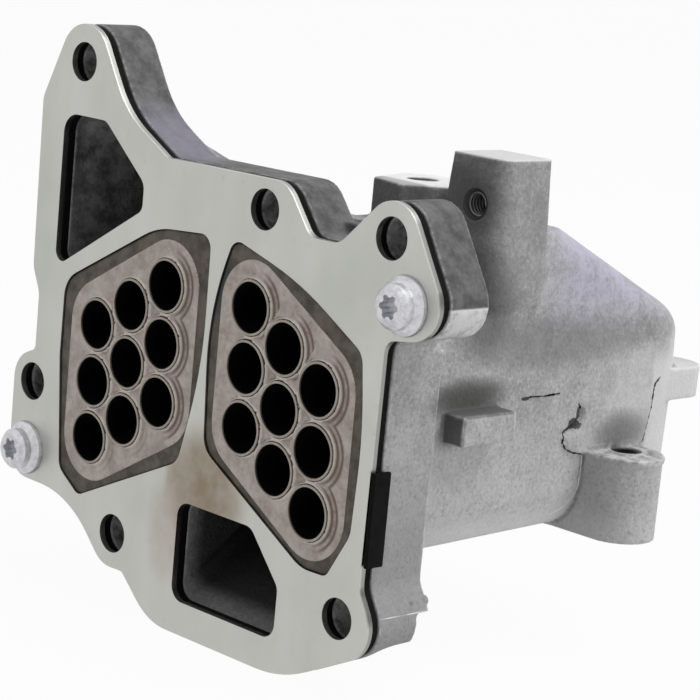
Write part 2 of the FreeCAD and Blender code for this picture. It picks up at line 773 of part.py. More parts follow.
    # Second boss
    boss_outline = [
        (15.3, 32.5, 1.0, OUT),
        (17.7, 44.5, 6.5, OUT),
        (24.5, 45.0, 6.5, OUT),
        (30.0, 38.5, 1.5, OUT),
        (24.2, 30.9, 1.3, OUT),
    ]
    boss = sketch_on(body, "XY_Plane", "boss_plan", belt(boss_outline), "Sizes.boss_top")
    extrude(body, "Pad", "boss", boss, "Sizes.boss_top - 12")

    # Side lug, its web running into the wall
    lug_x = BODY_HALF + size("lug_reach")
    lug_y = size("lug_place")
    lug_discs = [
        (lug_x - size("lug_root"), lug_y, size("lug_radius"), OUT),
        (lug_x, lug_y, size("lug_radius"), OUT),
    ]
    lug = sketch_on(body, "XY_Plane", "lug_plan", belt(lug_discs), "Sizes.lug_top")
    extrude(body, "Pad", "lug", lug, "Sizes.lug_height")

    # Stop block on the side wall
    stop_front = size("stop_front")
    stop = rectangle(BODY_HALF - 3.0, BODY_HALF + size("stop_width"), stop_front,
                     stop_front + size("stop_length"))
    stop_sketch = sketch_on(body, "XY_Plane", "stop_plan", stop, "Sizes.stop_top")
    extrude(body, "Pad", "stop_block", stop_sketch, "Sizes.stop_height")

    # Stub on the rear wall
    stub_x = BODY_HALF - size("stub_inset")
    stub_y = size("body_length") + size("stub_reach")
    stub_discs = [
        (stub_x, stub_y - size("stub_root"), size("stub_radius"), OUT),
        (stub_x, stub_y, size("stub_radius"), OUT),
    ]
    stub = sketch_on(body, "XY_Plane", "stub_plan", belt(stub_discs), "Sizes.stub_top")
    extrude(body, "Pad", "stub", stub, "Sizes.stub_height")

    # Main chamber and the two window chambers
    core_front = sketch_on(body, "XZ_Plane", "core_front", belt(core_discs()), at_plane(FLANGE_AT))
    core_sections = [core_front]
    for name, place, shrink, drop in (
        ("core_header", size("rear_header_face") + 1.5, 0.0, 2.4),
        ("core_cap", size("rear_header_face") + size("cap_depth") + 2.0, 1.0, 3.5),
        ("core_end", size("body_length") - 2.5 * wall, 3.0, 8.0),
    ):
        section = sketch_on(body, "XZ_Plane", name, belt(core_discs(shrink, drop)), "-%g" % place)
        core_sections.append(section)
    loft(body, "SubtractiveLoft", "core", core_sections)
    chamber_front = sketch_on(body, "XZ_Plane", "chamber_front", belt(UPPER_WINDOW), at_plane(FLANGE_AT))
    chamber_rear = sketch_on(body, "XZ_Plane", "chamber_rear", belt(CHAMBER_REAR), "-%g" % CHAMBER_BACK)
    loft(body, "SubtractiveLoft", "chamber", [chamber_front, chamber_rear])
    pocket_front = sketch_on(body, "XZ_Plane", "pocket_front", belt(LOWER_WINDOW), at_plane(FLANGE_AT))
    pocket_rear = sketch_on(body, "XZ_Plane", "pocket_rear", belt(POCKET_REAR), "-%g" % POCKET_BACK)
    loft(body, "SubtractiveLoft", "pocket", [pocket_front, pocket_rear])

    # Holes
    holes = sketch_on(body, "XZ_Plane", "bolt_holes", [], at_plane(FLANGE_AT))
    for centre in BOLTS.values():
        add_circle(holes, centre, "Sizes.bolt_hole_dia")
    extrude(body, "Pocket", "bolt_bores", holes, "Sizes.flange_thickness + Sizes.rim_extra")
    threads = sketch_on(body, "XZ_Plane", "screw_holes", [], at_plane(FLANGE_AT))
    for centre in SCREWS.values():
        add_circle(threads, centre, "Sizes.screw_dia")
    extrude(body, "Pocket", "screw_bores", threads, "Sizes.screw_engagement + Sizes.screw_tip_gap")
    middle = left + size("block_width") / 2
    block_centre = (middle + size("block_thread_offset"), size("block_thread_height"))
    block_hole = sketch_on(body, "XZ_Plane", "block_hole", [], "-%g" % (front - spread))
    add_circle(block_hole, block_centre, "Sizes.block_thread_dia")
    extrude(body, "Pocket", "block_thread", block_hole, "Sizes.block_thread_depth + %g" % spread)
    boss_hole = sketch_on(body, "XY_Plane", "boss_hole", [], "Sizes.boss_top")
    add_circle(boss_hole, BOSS_HOLE, "Sizes.boss_thread_dia")
    extrude(body, "Pocket", "boss_thread", boss_hole, "Sizes.boss_thread_depth")
    lug_hole = sketch_on(body, "XY_Plane", "lug_hole", [], "Sizes.lug_top")
    shift = size("lug_hole_shift")
    add_circle(lug_hole, (lug_x - shift, lug_y + shift), "Sizes.lug_hole_dia")
    extrude(body, "Pocket", "lug_bore", lug_hole, "Sizes.lug_height")
    return body


parts = [
    make_plate(),
    make_gasket(),
    make_header("left_header", -1, LEFT_CUTOUT),
    make_header("right_header", 1, RIGHT_CUTOUT),
    make_rear_header(),
    make_cap(),
    make_screws(),
    make_housing(),
]
for side, word in ((-1, "left"), (1, "right")):
    for number, centre in enumerate(tube_centres(side), start=1):
        parts.append(make_tube("tube_%s_%d" % (word, number), centre))

doc.recompute()
for item in doc.Objects:
    if "Invalid" in item.State or "Error" in item.State:
        raise RuntimeError("%s failed: %s" % (item.Name, item.State))
for part in parts:
    if part.Shape.isNull() or not part.Shape.isValid():
        raise RuntimeError("%s has no valid shape" % part.Label)

os.makedirs("parts", exist_ok=True)
for part in parts:
    part.Shape.exportStep("parts/%s.step" % part.Label)
    print("%-14s solids %d volume %.0f" % (part.Label, len(part.Shape.Solids), part.Shape.Volume))
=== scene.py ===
# %% [markdown]
# # An exhaust gas cooler in a cast housing
# The part sits between an engine's exhaust and its air intake.
# Gas runs through eighteen steel tubes while coolant washes round them inside an aluminium casting.
# The photograph looks at the front face from the right, so the face plate, the tube mouths and
# the right-hand wall of the casting get the most attention.
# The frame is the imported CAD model: X to the right, Y into the part, Z up, in metres.

import math

import bmesh
import bpy
import numpy as np
from mathutils import Matrix, Vector
from mathutils.bvhtree import BVHTree


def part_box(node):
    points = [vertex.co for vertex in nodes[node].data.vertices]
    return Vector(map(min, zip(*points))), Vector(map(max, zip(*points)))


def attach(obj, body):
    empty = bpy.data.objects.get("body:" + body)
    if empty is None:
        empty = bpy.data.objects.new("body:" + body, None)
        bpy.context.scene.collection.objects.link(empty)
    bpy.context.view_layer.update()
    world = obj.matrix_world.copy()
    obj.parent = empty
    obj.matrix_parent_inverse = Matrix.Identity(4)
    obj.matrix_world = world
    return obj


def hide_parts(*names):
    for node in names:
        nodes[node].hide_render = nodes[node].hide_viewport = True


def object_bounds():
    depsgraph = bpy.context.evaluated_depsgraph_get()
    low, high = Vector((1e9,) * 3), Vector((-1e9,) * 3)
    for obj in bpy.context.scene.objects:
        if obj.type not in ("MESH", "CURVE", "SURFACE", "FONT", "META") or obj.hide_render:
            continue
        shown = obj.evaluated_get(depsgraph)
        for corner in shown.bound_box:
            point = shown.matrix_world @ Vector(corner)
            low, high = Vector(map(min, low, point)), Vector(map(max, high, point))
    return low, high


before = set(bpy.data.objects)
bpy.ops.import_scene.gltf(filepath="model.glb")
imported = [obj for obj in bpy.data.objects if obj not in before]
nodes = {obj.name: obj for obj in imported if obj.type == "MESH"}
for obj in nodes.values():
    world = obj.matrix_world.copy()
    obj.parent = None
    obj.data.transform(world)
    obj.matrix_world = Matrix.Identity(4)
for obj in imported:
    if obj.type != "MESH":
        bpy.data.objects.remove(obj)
cad_low, cad_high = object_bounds()
MM = 0.001
print("nodes:", len(nodes), "box in mm:", [round(v / MM, 1) for v in (*cad_low, *cad_high)])

# %% [markdown]
# ## Places that several steps share
# All are in millimetres of the frame. The block's thread runs along Y, and the boss's thread and
# the lug's bore run along Z, so each needs only the two coordinates across it.

# %% Shared places
BOLTS_XZ = ((-48.4, 44.8), (15.0, 21.4), (52.5, 21.6), (-59.3, -31.0), (-26.5, -59.4), (47.1, -58.7))
BLOCK_THREAD_XZ = (44.3, 26.3)
BOSS_THREAD_XY = (19.6, 41.8)
LUG_BORE_XY = (54.4, 78.8)
print("bolt holes:", len(BOLTS_XZ))

# %% [markdown]
# ## Camera
# The camera was fitted to the eighteen tube mouths in the photograph and to the slopes of five
# straight edges. Its lens was chosen a little shorter than the best fit.
# It stands to the right of the part's middle and a little above it, with a long lens.
# Three unit vectors say where the picture's right, down and forward point in the frame.

# %% Camera
scene = bpy.context.scene


def placed(name, data):
    """A new object in the scene with the given data."""
    thing = bpy.data.objects.new(name, data)
    scene.collection.objects.link(thing)
    return thing


picture_right = Vector((0.69362, 0.71458, 0.0909))
picture_down = Vector((0.19771, -0.06751, -0.97793))
picture_forward = Vector((-0.69268, 0.69629, -0.1881))
camera_place = Vector((394.6, -352.6, 92.5)) * MM
camera_data = bpy.data.cameras.new("camera")
camera_data.lens = 128.57
camera_data.sensor_width = 36.0
camera_data.clip_start = 0.01
camera_data.clip_end = 50.0
camera = placed("camera", camera_data)
turn = Matrix((picture_right, -picture_down, -picture_forward)).transposed()
camera.matrix_world = Matrix.Translation(camera_place) @ turn.to_4x4()
scene.camera = camera
print("camera at", [round(v, 4) for v in camera_place])

# %% [markdown]
# ## A small language for materials
# Shader trees are long to write node by node.
# One class wraps a socket, so that ordinary arithmetic on it adds the Math nodes.
# A second class holds a material and adds any other node by its type, its settings and its inputs.
# Patterns are written in millimetres of the object's own coordinates, so a spot stays where it is put.


# %% Sockets with arithmetic
class Value:
    """A number in a shader tree. Arithmetic on it adds Math nodes."""

    def __init__(self, tree, socket):
        self.tree = tree
        self.socket = socket

    def maths(self, operation, *parts):
        node = self.tree.nodes.new("ShaderNodeMath")
        node.operation = operation
        for place, part in enumerate(parts):
            if isinstance(part, Value):
                self.tree.links.new(part.socket, node.inputs[place])
            else:
                node.inputs[place].default_value = part
        return Value(self.tree, node.outputs[0])

    def __add__(self, other):
        return self.maths("ADD", self, other)

    def __radd__(self, other):
        return self.maths("ADD", other, self)

    def __sub__(self, other):
        return self.maths("SUBTRACT", self, other)

    def __rsub__(self, other):
        return self.maths("SUBTRACT", other, self)

    def __mul__(self, other):
        return self.maths("MULTIPLY", self, other)

    def __truediv__(self, other):
        return self.maths("DIVIDE", self, other)

    def __pow__(self, other):
        return self.maths("POWER", self, other)

    def size(self):
        return self.maths("ABSOLUTE", self)

    def most(self, other):
        return self.maths("MAXIMUM", self, other)

    def rise(self, start, end):
        """0 before start, 1 after end, smooth between. An end before start falls instead."""
        node = self.tree.nodes.new("ShaderNodeMapRange")
        node.interpolation_type = "SMOOTHSTEP"
        self.tree.links.new(self.socket, node.inputs["Value"])
        turned = end < start
        node.inputs["From Min"].default_value = end if turned else start
        node.inputs["From Max"].default_value = start if turned else end
        node.inputs["To Min"].default_value = 1.0 if turned else 0.0
        node.inputs["To Max"].default_value = 0.0 if turned else 1.0
        return Value(self.tree, node.outputs["Result"])

    def ridge(self, middle, half_width):
        """1 at middle, falling to 0 at half_width on either side."""
        return (self - middle).size().rise(half_width, 0.0)


class Finish:
    """A material in the making, with its coordinates in millimetres."""

    def __init__(self, name, metallic, roughness, specular=0.5):
        self.material = bpy.data.materials.new(name)
        self.material.use_nodes = True
        self.colour = None
        self.tree = self.material.node_tree
        self.shader = self.tree.nodes["Principled BSDF"]
        self.shader.inputs["Metallic"].default_value = metallic
        self.shader.inputs["Roughness"].default_value = roughness
        self.shader.inputs["Specular IOR Level"].default_value = specular
        coordinates = self.tree.nodes.new("ShaderNodeTexCoord")
        scale = self.tree.nodes.new("ShaderNodeVectorMath")
        scale.operation = "SCALE"
        scale.inputs["Scale"].default_value = 1.0 / MM
        self.tree.links.new(coordinates.outputs["Object"], scale.inputs[0])
        self.place = scale.outputs["Vector"]
        split = self.node("ShaderNodeSeparateXYZ", {}, Vector=self.place)
        self.x = Value(self.tree, split.outputs["X"])
        self.y = Value(self.tree, split.outputs["Y"])
        self.z = Value(self.tree, split.outputs["Z"])

    def node(self, kind, settings, **inputs):
        made = self.tree.nodes.new(kind)
        for key, value in settings.items():
            setattr(made, key, value)
        for key, value in inputs.items():
            socket = made.inputs[key]
            if isinstance(value, Value):
                self.tree.links.new(value.socket, socket)
            elif isinstance(value, bpy.types.NodeSocket):
                self.tree.links.new(value, socket)
            else:
                socket.default_value = value
        return made

    def noise(self, grain_mm, detail=3.0, roughness=0.55, stretch=(1.0, 1.0, 1.0)):
        """Cloudy noise from 0 to 1, with blotches of about grain_mm."""
        scaled = self.node("ShaderNodeVectorMath", {"operation": "MULTIPLY"})
        self.tree.links.new(self.place, scaled.inputs[0])
        scaled.inputs[1].default_value = [part / grain_mm for part in stretch]
        made = self.node("ShaderNodeTexNoise", {}, Scale=1.0, Detail=detail, Roughness=roughness)
        self.tree.links.new(scaled.outputs["Vector"], made.inputs["Vector"])
        return Value(self.tree, made.outputs["Fac"])

    def pits(self, spacing_mm, share, radius):
        """1 inside a scatter of small round pits, 0 elsewhere. radius is in units of the spacing."""
        scaled = self.node("ShaderNodeVectorMath", {"operation": "SCALE"}, Scale=1.0 / spacing_mm)
        self.tree.links.new(self.place, scaled.inputs[0])
        cells = self.node("ShaderNodeTexVoronoi", {}, Scale=1.0)
        self.tree.links.new(scaled.outputs["Vector"], cells.inputs["Vector"])
        luck = self.node("ShaderNodeSeparateXYZ", {}, Vector=cells.outputs["Color"])
        chosen = Value(self.tree, luck.outputs["X"]).rise(share + 0.02, share)
        near = Value(self.tree, cells.outputs["Distance"]).rise(radius, radius * 0.35)
        return chosen * near

    def spot(self, centre, reach):
        """A soft ellipsoid: 1 at its centre and 0 at its edge. centre and reach are in millimetres."""
        total = ((self.x - centre[0]) / reach[0]) ** 2.0
        total = total + ((self.y - centre[1]) / reach[1]) ** 2.0
        total = total + ((self.z - centre[2]) / reach[2]) ** 2.0
        return total.rise(1.0, 0.0)

    def tint(self, colour, factor):
        """Blends a colour over the finish's own, as far as factor says."""
        self.colour = self.blend(self.colour, colour, factor)

    def attribute(self, name):
        made = self.node("ShaderNodeAttribute", {"attribute_name": name})
        return Value(self.tree, made.outputs["Fac"])

    def blend(self, first, second, factor):
        """A colour between first and second, each a colour or a colour socket."""
        made = self.node("ShaderNodeMix", {"data_type": "RGBA"})
        self.tree.links.new(factor.socket, made.inputs[0])
        for colour, socket in ((first, made.inputs[6]), (second, made.inputs[7])):
            if isinstance(colour, bpy.types.NodeSocket):
                self.tree.links.new(colour, socket)
            else:
                socket.default_value = (*colour, 1.0)
        return made.outputs[2]

    def feed(self, name, value):
        socket = self.shader.inputs[name]
        self.tree.links.new(value.socket if isinstance(value, Value) else value, socket)

    def relief(self, height):
        """Bump from a height in millimetres."""
        made = self.node("ShaderNodeBump", {}, Strength=1.0, Distance=MM, Height=height)
        self.tree.links.new(made.outputs["Normal"], self.shader.inputs["Normal"])


def off_axis(first, second, middle):
    """Distance from an axis, in the two coordinates across it. middle is the axis's place."""
    return ((first - middle[0]) ** 2.0 + (second - middle[1]) ** 2.0) ** 0.5


def grey(level, warmth=0.0):
    """A linear grey from a picture level of 0 to 255, a little warmer or cooler."""
    linear = (level / 255.0) ** 2.2
    return (linear * (1.0 + warmth), linear, linear * (1.0 - warmth))


def tone(red, green, blue):
    """A linear colour from picture levels of 0 to 255."""
    return tuple((part / 255.0) ** 2.2 for part in (red, green, blue))


print("material language ready")

# %% [markdown]
# ## Cast alloy
# The housing is sand-cast or die-cast aluminium that has been in use.
# Its skin is mottled light and dark grey at several sizes, with small pits and fine grain.
# Painted light and shade, and colours that belong to one place, are blended over it in the next cells, one
# region after another.

# %% Cast alloy material
cast = Finish("cast_alloy", 0.0, 0.6, 0.3)
x, y, z, tint, spot = cast.x, cast.y, cast.z, cast.tint, cast.spot
cloud = cast.noise(16.0, 4.0, 0.6)
blotch = cast.noise(3.6, 5.0, 0.66)
grain = cast.noise(0.9, 3.0, 0.65)
holes = cast.pits(5.0, 0.06, 0.14)
specks = cast.noise(1.6, 3.0, 0.6).rise(0.55, 0.75)
wear = cast.attribute("wear")
inward_dark = cast.attribute("inward_dark")
cast.colour = cast.blend(grey(150), grey(184), (cloud * 0.5 + blotch * 0.7 - 0.1).rise(0.3, 0.75))
# Painted light: the right-hand wall is lighter towards its lower part.
low_light_painted = z.rise(-8.0, -46.0) * x.rise(40.0, 46.0)
tint(grey(216), low_light_painted * 0.5)
tint(grey(118, 0.02), specks * 0.25)
tint(grey(112), grain.rise(0.5, 0.25) * 0.4)
tint(grey(216), grain.rise(0.5, 0.75) * 0.4)
print("base skin mixed")

# %% [markdown]
# ## Wall and shoulder
# Painted light makes the wall lighter at its lower edge and at its rear, and a painted highlight lies
# under the upper right lobe. Painted shade darkens the wall under the sloped shoulder, which has a painted
# lavender sheen.

# %% Wall and shoulder
# Painted light on the wall's lower edge, at its rear and round its rear corner.
lower_edge_light = z.rise(-38.0, -47.0) * x.rise(38.0, 46.0) * y.rise(18.0, 20.0) * y.rise(72.0, 66.0)
tint(grey(246), lower_edge_light * 0.6)
rear_light = y.rise(62.0, 90.0) * x.rise(44.0, 48.0) * z.rise(-3.0, -11.0) * z.rise(-34.0, -28.0)
tint(grey(220), rear_light * 0.45)
rear_wall_light = y.rise(89.4, 90.4) * x.rise(47.0, 49.0) * z.rise(-4.0, -14.0)
rear_right_light = rear_wall_light.most(y.rise(92.0, 99.0) * x.rise(15.0, 46.0) * z.rise(2.0, -9.0))
tint(grey(226), rear_right_light * 0.65)
# Painted highlight under the upper right lobe.
under_lobe_highlight = y.rise(15.6, 14.9) * z.rise(2.0, 4.0) * z.rise(9.7, 9.2) * x.rise(52.0, 54.0)
tint(grey(240), under_lobe_highlight * blotch.rise(0.25, 0.55) * 0.7)
# Painted shade under the sloped shoulder.
under_shoulder_shade = spot((51.5, 56.0, -3.0), (9.0, 40.0, 8.0))
tint(grey(112), under_shoulder_shade * 0.6)
# Painted lavender sheen on the shoulder.
shoulder = z.rise(-3.0, 8.0) * y.rise(46.0, 64.0) * x.rise(-10.0, 40.0)
tint(tone(188, 185, 208), shoulder * (0.25 + blotch.rise(0.3, 0.6) * 0.45))
print("wall and shoulder toned")

# %% [markdown]
# ## Flange rim and bolt holes
# The flange's flank gets painted shade, lighter and lavender over the top left of the middle, and it ends in
# a light seam at the upper right lobe.
# The seam there is paint. The bolt holes' walls are mottled.

# %% Rim and bolt holes
# Painted shade on the flange's right flank, stronger lower down.
rim_flank_shade = y.rise(19.0, 18.4) * x.rise(50.0, 51.0) * z.rise(-8.0, -50.0)
tint(grey(122), rim_flank_shade * 0.6)
lobe_seam = z.rise(9.0, 9.2) * z.rise(9.7, 9.4) * y.rise(14.9, 14.7) * x.rise(52.0, 54.0)
flank_right = z.rise(9.2, 10.0) * x.rise(38.0, 44.0)
# Painted shade on the flange's flank at the upper right lobe and along the top to the left.
flank = y.rise(15.6, 14.9) * flank_right.most(z.rise(-6.0, 24.0) * x.rise(44.0, 38.0))
flank_shade_colour = cast.blend(grey(74), grey(112), blotch.rise(0.3, 0.7))
# A lighter, lavender patch in that painted shade over the top, left of the middle.
hollow = spot((-22.0, 9.0, 31.0), (17.0, 14.0, 13.0))
flank_shade_colour = cast.blend(flank_shade_colour, tone(138, 135, 149), hollow * (0.5 + blotch * 0.6))
tint(flank_shade_colour, flank)
tint(grey(226), lobe_seam * 0.8)
bore_colour = cast.blend(grey(104), grey(222), specks * 0.4 + blotch.rise(0.35, 0.62) * 0.6)
for middle in BOLTS_XZ:
    bore = off_axis(x, z, middle).rise(5.1, 4.7) * y.rise(19.0, 18.4)
    tint(bore_colour, bore)
print("rim and bolt holes toned")

# %% [markdown]
# ## Block foot, stop block and lug
# Painted shade lies where the block meets the wall, on the block's side, above the stop block, beside the
# lug and in the lug's bore. The hooked notch is painted dark as the shade in its pit, with a ragged outline.

# %% Corners and lug
corner_shade = spot((49.0, 32.0, 6.0), (9.0, 12.0, 15.0))
tint(grey(80), corner_shade * 0.75)
# Painted shade on the side of the block.
block_side_shade = z.rise(4.0, 12.0) * x.rise(34.0, 36.0) * y.rise(28.0, 29.0) * y.rise(50.0, 49.0)
tint(grey(116), block_side_shade * 0.3)
# Painted shade over the stop block and the wall above it.
shade_above_stop = spot((51.5, 28.0, -13.5), (7.0, 16.0, 5.5))
tint(grey(64, 0.04), shade_above_stop * 0.9)
beyond_wall = x.rise(51.7, 52.2)
stop_top = z.rise(-16.5, -16.1) * z.rise(-14.8, -15.2) * y.rise(20.4, 21.0) * y.rise(39.0, 38.5)
stop_front = y.rise(22.4, 21.9) * y.rise(20.4, 21.0) * z.rise(-14.8, -15.2) * z.rise(-23.6, -23.0)
stop_shade = stop_top.most(stop_front) * beyond_wall
tint(grey(78), stop_shade * 0.85)
lug_shade = spot((51.5, 80.0, -26.0), (6.0, 12.0, 7.0))
tint(grey(88), lug_shade * 0.7)
lug_top = z.rise(-29.6, -29.0) * x.rise(51.0, 53.0) * z.rise(-27.0, -28.4) * y.rise(65.0, 67.0)
tint(cast.blend(grey(116), grey(208), blotch.rise(0.35, 0.65)), lug_top * 0.85)
lug_hole = off_axis(x, y, LUG_BORE_XY)
# Painted shade inside the lug's bore.
tint(grey(36), lug_hole.rise(3.9, 3.3) * z.rise(-29.0, -29.6) * 0.9)
# Painted shade in the pit of the hooked notch and in a short crease above the stop block.
notch = spot((51.6, 65.0, -19.8), (4.0, 0.8, 2.2)).most(spot((51.6, 63.8, -22.2), (4.0, 2.5, 1.7)))
notch = notch.most(spot((51.6, 46.6, -15.1), (4.0, 1.9, 0.5)))
ragged = cast.noise(1.1, 4.0, 0.7)
notch = notch + (ragged - 0.5) * notch.rise(0.0, 0.1) * 2.4
tint(grey(34), notch.rise(0.15, 0.5) * 0.9)
print("corners and lug toned")

# %% [markdown]
# ## Machined heads and threads
# The tops of the block and of the boss were cut flat, so their metal is lighter, and a painted highlight
# makes them near white. Their holes and a halo round the block's thread get painted shade.

# %% Heads and threads
block_head = z.rise(36.0, 36.35) * y.rise(28.0, 29.0)
boss_head = z.rise(27.4, 27.7) * x.rise(34.0, 33.0) * y.rise(28.0, 29.0)
machined_highlit = block_head.most(boss_head)
# Cut metal is lighter; a painted highlight brings the tops near white.
tint(grey(228), machined_highlit * 0.85)
tint(grey(250), boss_head * 0.95)
boss_hole = off_axis(x, y, BOSS_THREAD_XY)
# Painted shade inside the boss's thread.
boss_hole_shade = boss_hole.rise(3.8, 3.3) * z.rise(27.7, 27.2) * z.rise(12.0, 14.0)
tint(grey(46), boss_hole_shade * 0.9)
thread_reach = off_axis(x, z, BLOCK_THREAD_XZ)
by_thread = y.rise(29.0, 30.0) * y.rise(47.0, 46.0)
# Painted shade round the block's thread, nearly black inside its mouth.
tint(grey(86), thread_reach.rise(8.5, 3.2) * by_thread * 0.5)
tint(grey(12), thread_reach.rise(3.55, 3.25) * by_thread * 0.97)
block_shade = x.rise(46.5, 40.0) * y.rise(35.5, 33.5) * y.rise(28.0, 29.5) * z.rise(35.5, 33.0)
tint(grey(104), block_shade * 0.6)
print("heads and threads toned")

# %% [markdown]
# ## Inside the two windows
# The sump behind the lower window is painted nearly black, as shade in the cavity. The hood behind the upper
# one is mottled grey.

# %% Sump and hood
# Painted shade: the sump is nearly black.
sump = x.rise(-5.4, -4.6) * x.rise(29.6, 28.8) * z.rise(-69.4, -68.8) * z.rise(-43.0, -45.0)
sump = sump * y.rise(4.0, 9.0) * y.rise(35.0, 34.5)
tint(grey(22), sump * 0.97)
entry = x.rise(-54.5, -53.9) * x.rise(-23.6, -24.4) * z.rise(34.0, 33.2) * y.rise(3.6, 7.0)
entry = entry * y.rise(50.4, 50.0) * z.rise(-2.0, 1.0) * cast.attribute("inside")
tint(cast.blend(grey(96), grey(160), blotch.rise(0.35, 0.65)), entry * 0.85)
print("sump and hood toned")

# %% [markdown]
# ## Wear, darker inner corners and relief
# Rubbed outer corners are lighter and inner corners are darker. The mesh carries both as numbers on
# its points, because they come from how sharply the surface bends there.

# %% Wear, darker inner corners and relief
# Inward bends are darker.
tint(grey(44, 0.03), inward_dark * 0.85)
tint(grey(70), holes * 0.4)
tint(grey(226), wear * (0.2 + blotch.rise(0.35, 0.6) * 0.5))
cast.feed("Base Color", cast.colour)
cast.feed("Roughness", 0.6 - wear * 0.2 - machined_highlit * 0.2 + blotch * 0.1)
cast.relief(grain * 0.12 + blotch * 0.25 - holes * 0.2)
print("cast alloy ready")

# %% [markdown]
# ## Creases, threads and flash
# Three small finishes for pieces that lie on the casting. The creases' dark colour is painted shade.

# %% Creases, threads and flash
# Painted shade: the creases are near black.
crease_shade_finish = Finish("cast_crease_shade", 0.0, 0.9, 0.1)
crease_cloud = crease_shade_finish.noise(1.6, 3.0, 0.6)
crease_shade_finish.feed("Base Color", crease_shade_finish.blend(grey(22), grey(92), crease_cloud.rise(0.35, 0.65)))
thread_finish = Finish("cut_thread", 0.3, 0.4)
thread_cloud = thread_finish.noise(1.5, 2.0, 0.5)
thread_finish.feed("Base Color", thread_finish.blend(grey(96), grey(170), thread_cloud))
flash_finish = Finish("cast_flash", 0.0, 0.5)
flash_cloud = flash_finish.noise(2.5, 3.0, 0.6)
flash_finish.feed("Base Color", flash_finish.blend(grey(178), grey(240), flash_cloud.rise(0.3, 0.6)))
print("small finishes ready")

# %% [markdown]
# ## Face plate
# The face plate is satin stainless sheet with faint streaks. Heat from the left-hand tubes has
# stained it brown between the left header and the lower window.

# %% Plate steel
plate = Finish("plate_steel", 1.0, 0.36)
streak = plate.noise(9.0, 3.0, 0.5, (1.0, 1.0, 0.4))
fine = plate.noise(0.7, 2.0, 0.5)
plate.colour = plate.blend(tone(178, 179, 172), tone(194, 194, 190), streak)
sheared = plate.y.rise(0.3, 0.55)
wide_cloud = plate.noise(24.0, 3.0, 0.5)
plate.tint(tone(170, 173, 166), wide_cloud.rise(0.4, 0.75) * 0.5)
mark_cloud = plate.noise(3.0, 4.0, 0.65)
plate.tint(tone(160, 158, 150), mark_cloud.rise(0.58, 0.8) * 0.4)
plate.tint(tone(150, 150, 147), sheared)
stain_cloud = plate.noise(6.0, 4.0, 0.6)
stain = plate.spot((3.0, 0.0, -42.0), (17.0, 8.0, 17.0)) * plate.x.rise(-11.0, -8.5)
plate.tint(tone(132, 120, 104), stain * (0.4 + stain_cloud))
blush = plate.spot((-8.0, 0.0, -54.0), (8.0, 5.0, 14.0))
plate.tint(tone(160, 146, 136), blush * stain_cloud)
plate.feed("Base Color", plate.colour)
plate.feed("Roughness", 0.33 + fine * 0.08)
plate.relief(fine * 0.006 + streak * 0.02)
print("plate ready")

# %% [markdown]
# ## Gasket
# The rubber is nearly black and matt.

# %% Gasket rubber
rubber = Finish("gasket_rubber", 0.0, 0.8, 0.06)
rubber_cloud = rubber.noise(3.0, 3.0, 0.5)
rubber.feed("Base Color", rubber.blend((0.003, 0.003, 0.003), (0.014, 0.014, 0.015), rubber_cloud))
rubber.relief(rubber.noise(0.8, 2.0, 0.5) * 0.04)
print("rubber ready")

# %% [markdown]
# ## Headers
# The headers have turned pinkish tan, and the recessed band round each is dark. Arcs of brown lie
# beside the tubes. A light ring round each tube's rim and a light line along the band's edge are
# painted highlights. The mesh tells each point's place by the tubes.

# %% Header steel
pressed = Finish("header_steel", 0.45, 0.42)
tan_cloud = pressed.noise(5.0, 4.0, 0.6)
fleck = pressed.noise(1.4, 4.0, 0.65)
pressed.colour = pressed.blend(tone(160, 149, 141), tone(192, 183, 175), tan_cloud.rise(0.3, 0.7))
pressed.tint(tone(116, 104, 95), fleck.rise(0.52, 0.75) * 0.55)
pressed.tint(tone(206, 200, 192), fleck.rise(0.46, 0.3) * 0.5)
reach = pressed.attribute("reach")
rightness = pressed.attribute("rightness")
outer = pressed.attribute("outer")
rings = reach.ridge(6.9, 0.5).most(reach.ridge(8.2, 0.6))
pressed.tint(tone(92, 66, 54), rings * rightness.rise(0.1, 0.8) * (0.25 + outer * 0.65))
browned = reach.rise(9.4, 7.0) * rightness.rise(0.3, 0.9) * outer * fleck
pressed.tint(tone(104, 88, 78), browned)
# Painted highlight round each tube's rim.
pressed.tint(tone(222, 216, 208), reach.ridge(6.35, 0.35) * (0.35 + fleck * 0.6))
band = pressed.attribute("band")
band_cloud = pressed.noise(4.0, 3.0, 0.6)
band_colour = pressed.blend(tone(70, 65, 58), tone(106, 98, 90), band_cloud.rise(0.3, 0.7))
burnt = pressed.spot((5.0, 0.5, 2.0), (7.0, 4.0, 9.0))
band_colour = pressed.blend(band_colour, tone(52, 58, 60), burnt)
band = (band + (band_cloud - 0.5) * band.rise(0.0, 0.1) * 0.8).rise(0.25, 0.6)
pressed.tint(band_colour, band)
# Painted highlight along the band's edge.
pressed.tint(tone(190, 180, 170), band.ridge(0.4, 0.4) * 0.45)
pressed.feed("Base Color", pressed.colour)
pressed.feed("Roughness", 0.36 + tan_cloud * 0.12 + band * 0.15)
pressed.relief(tan_cloud * 0.05 + fleck * 0.03)
print("headers ready")

# %% [markdown]
# ## Tubes, screws and core
# Tubes are black with soot inside, and screws are bright.

# %% Tube, screw and core steel
tube_finish = Finish("tube_steel", 0.5, 0.4, 0.05)
soot = tube_finish.y.rise(-0.9, -0.3)
tube_cloud = tube_finish.noise(2.0, 3.0, 0.5)
rim = tube_finish.blend(tone(150, 140, 130), tone(190, 182, 172), tube_cloud)
tube_finish.feed("Base Color", tube_finish.blend(rim, (0.004, 0.004, 0.004), soot))
tube_finish.feed("Metallic", 0.5 - soot * 0.5)
tube_finish.feed("Roughness", 0.4 + soot * 0.55)

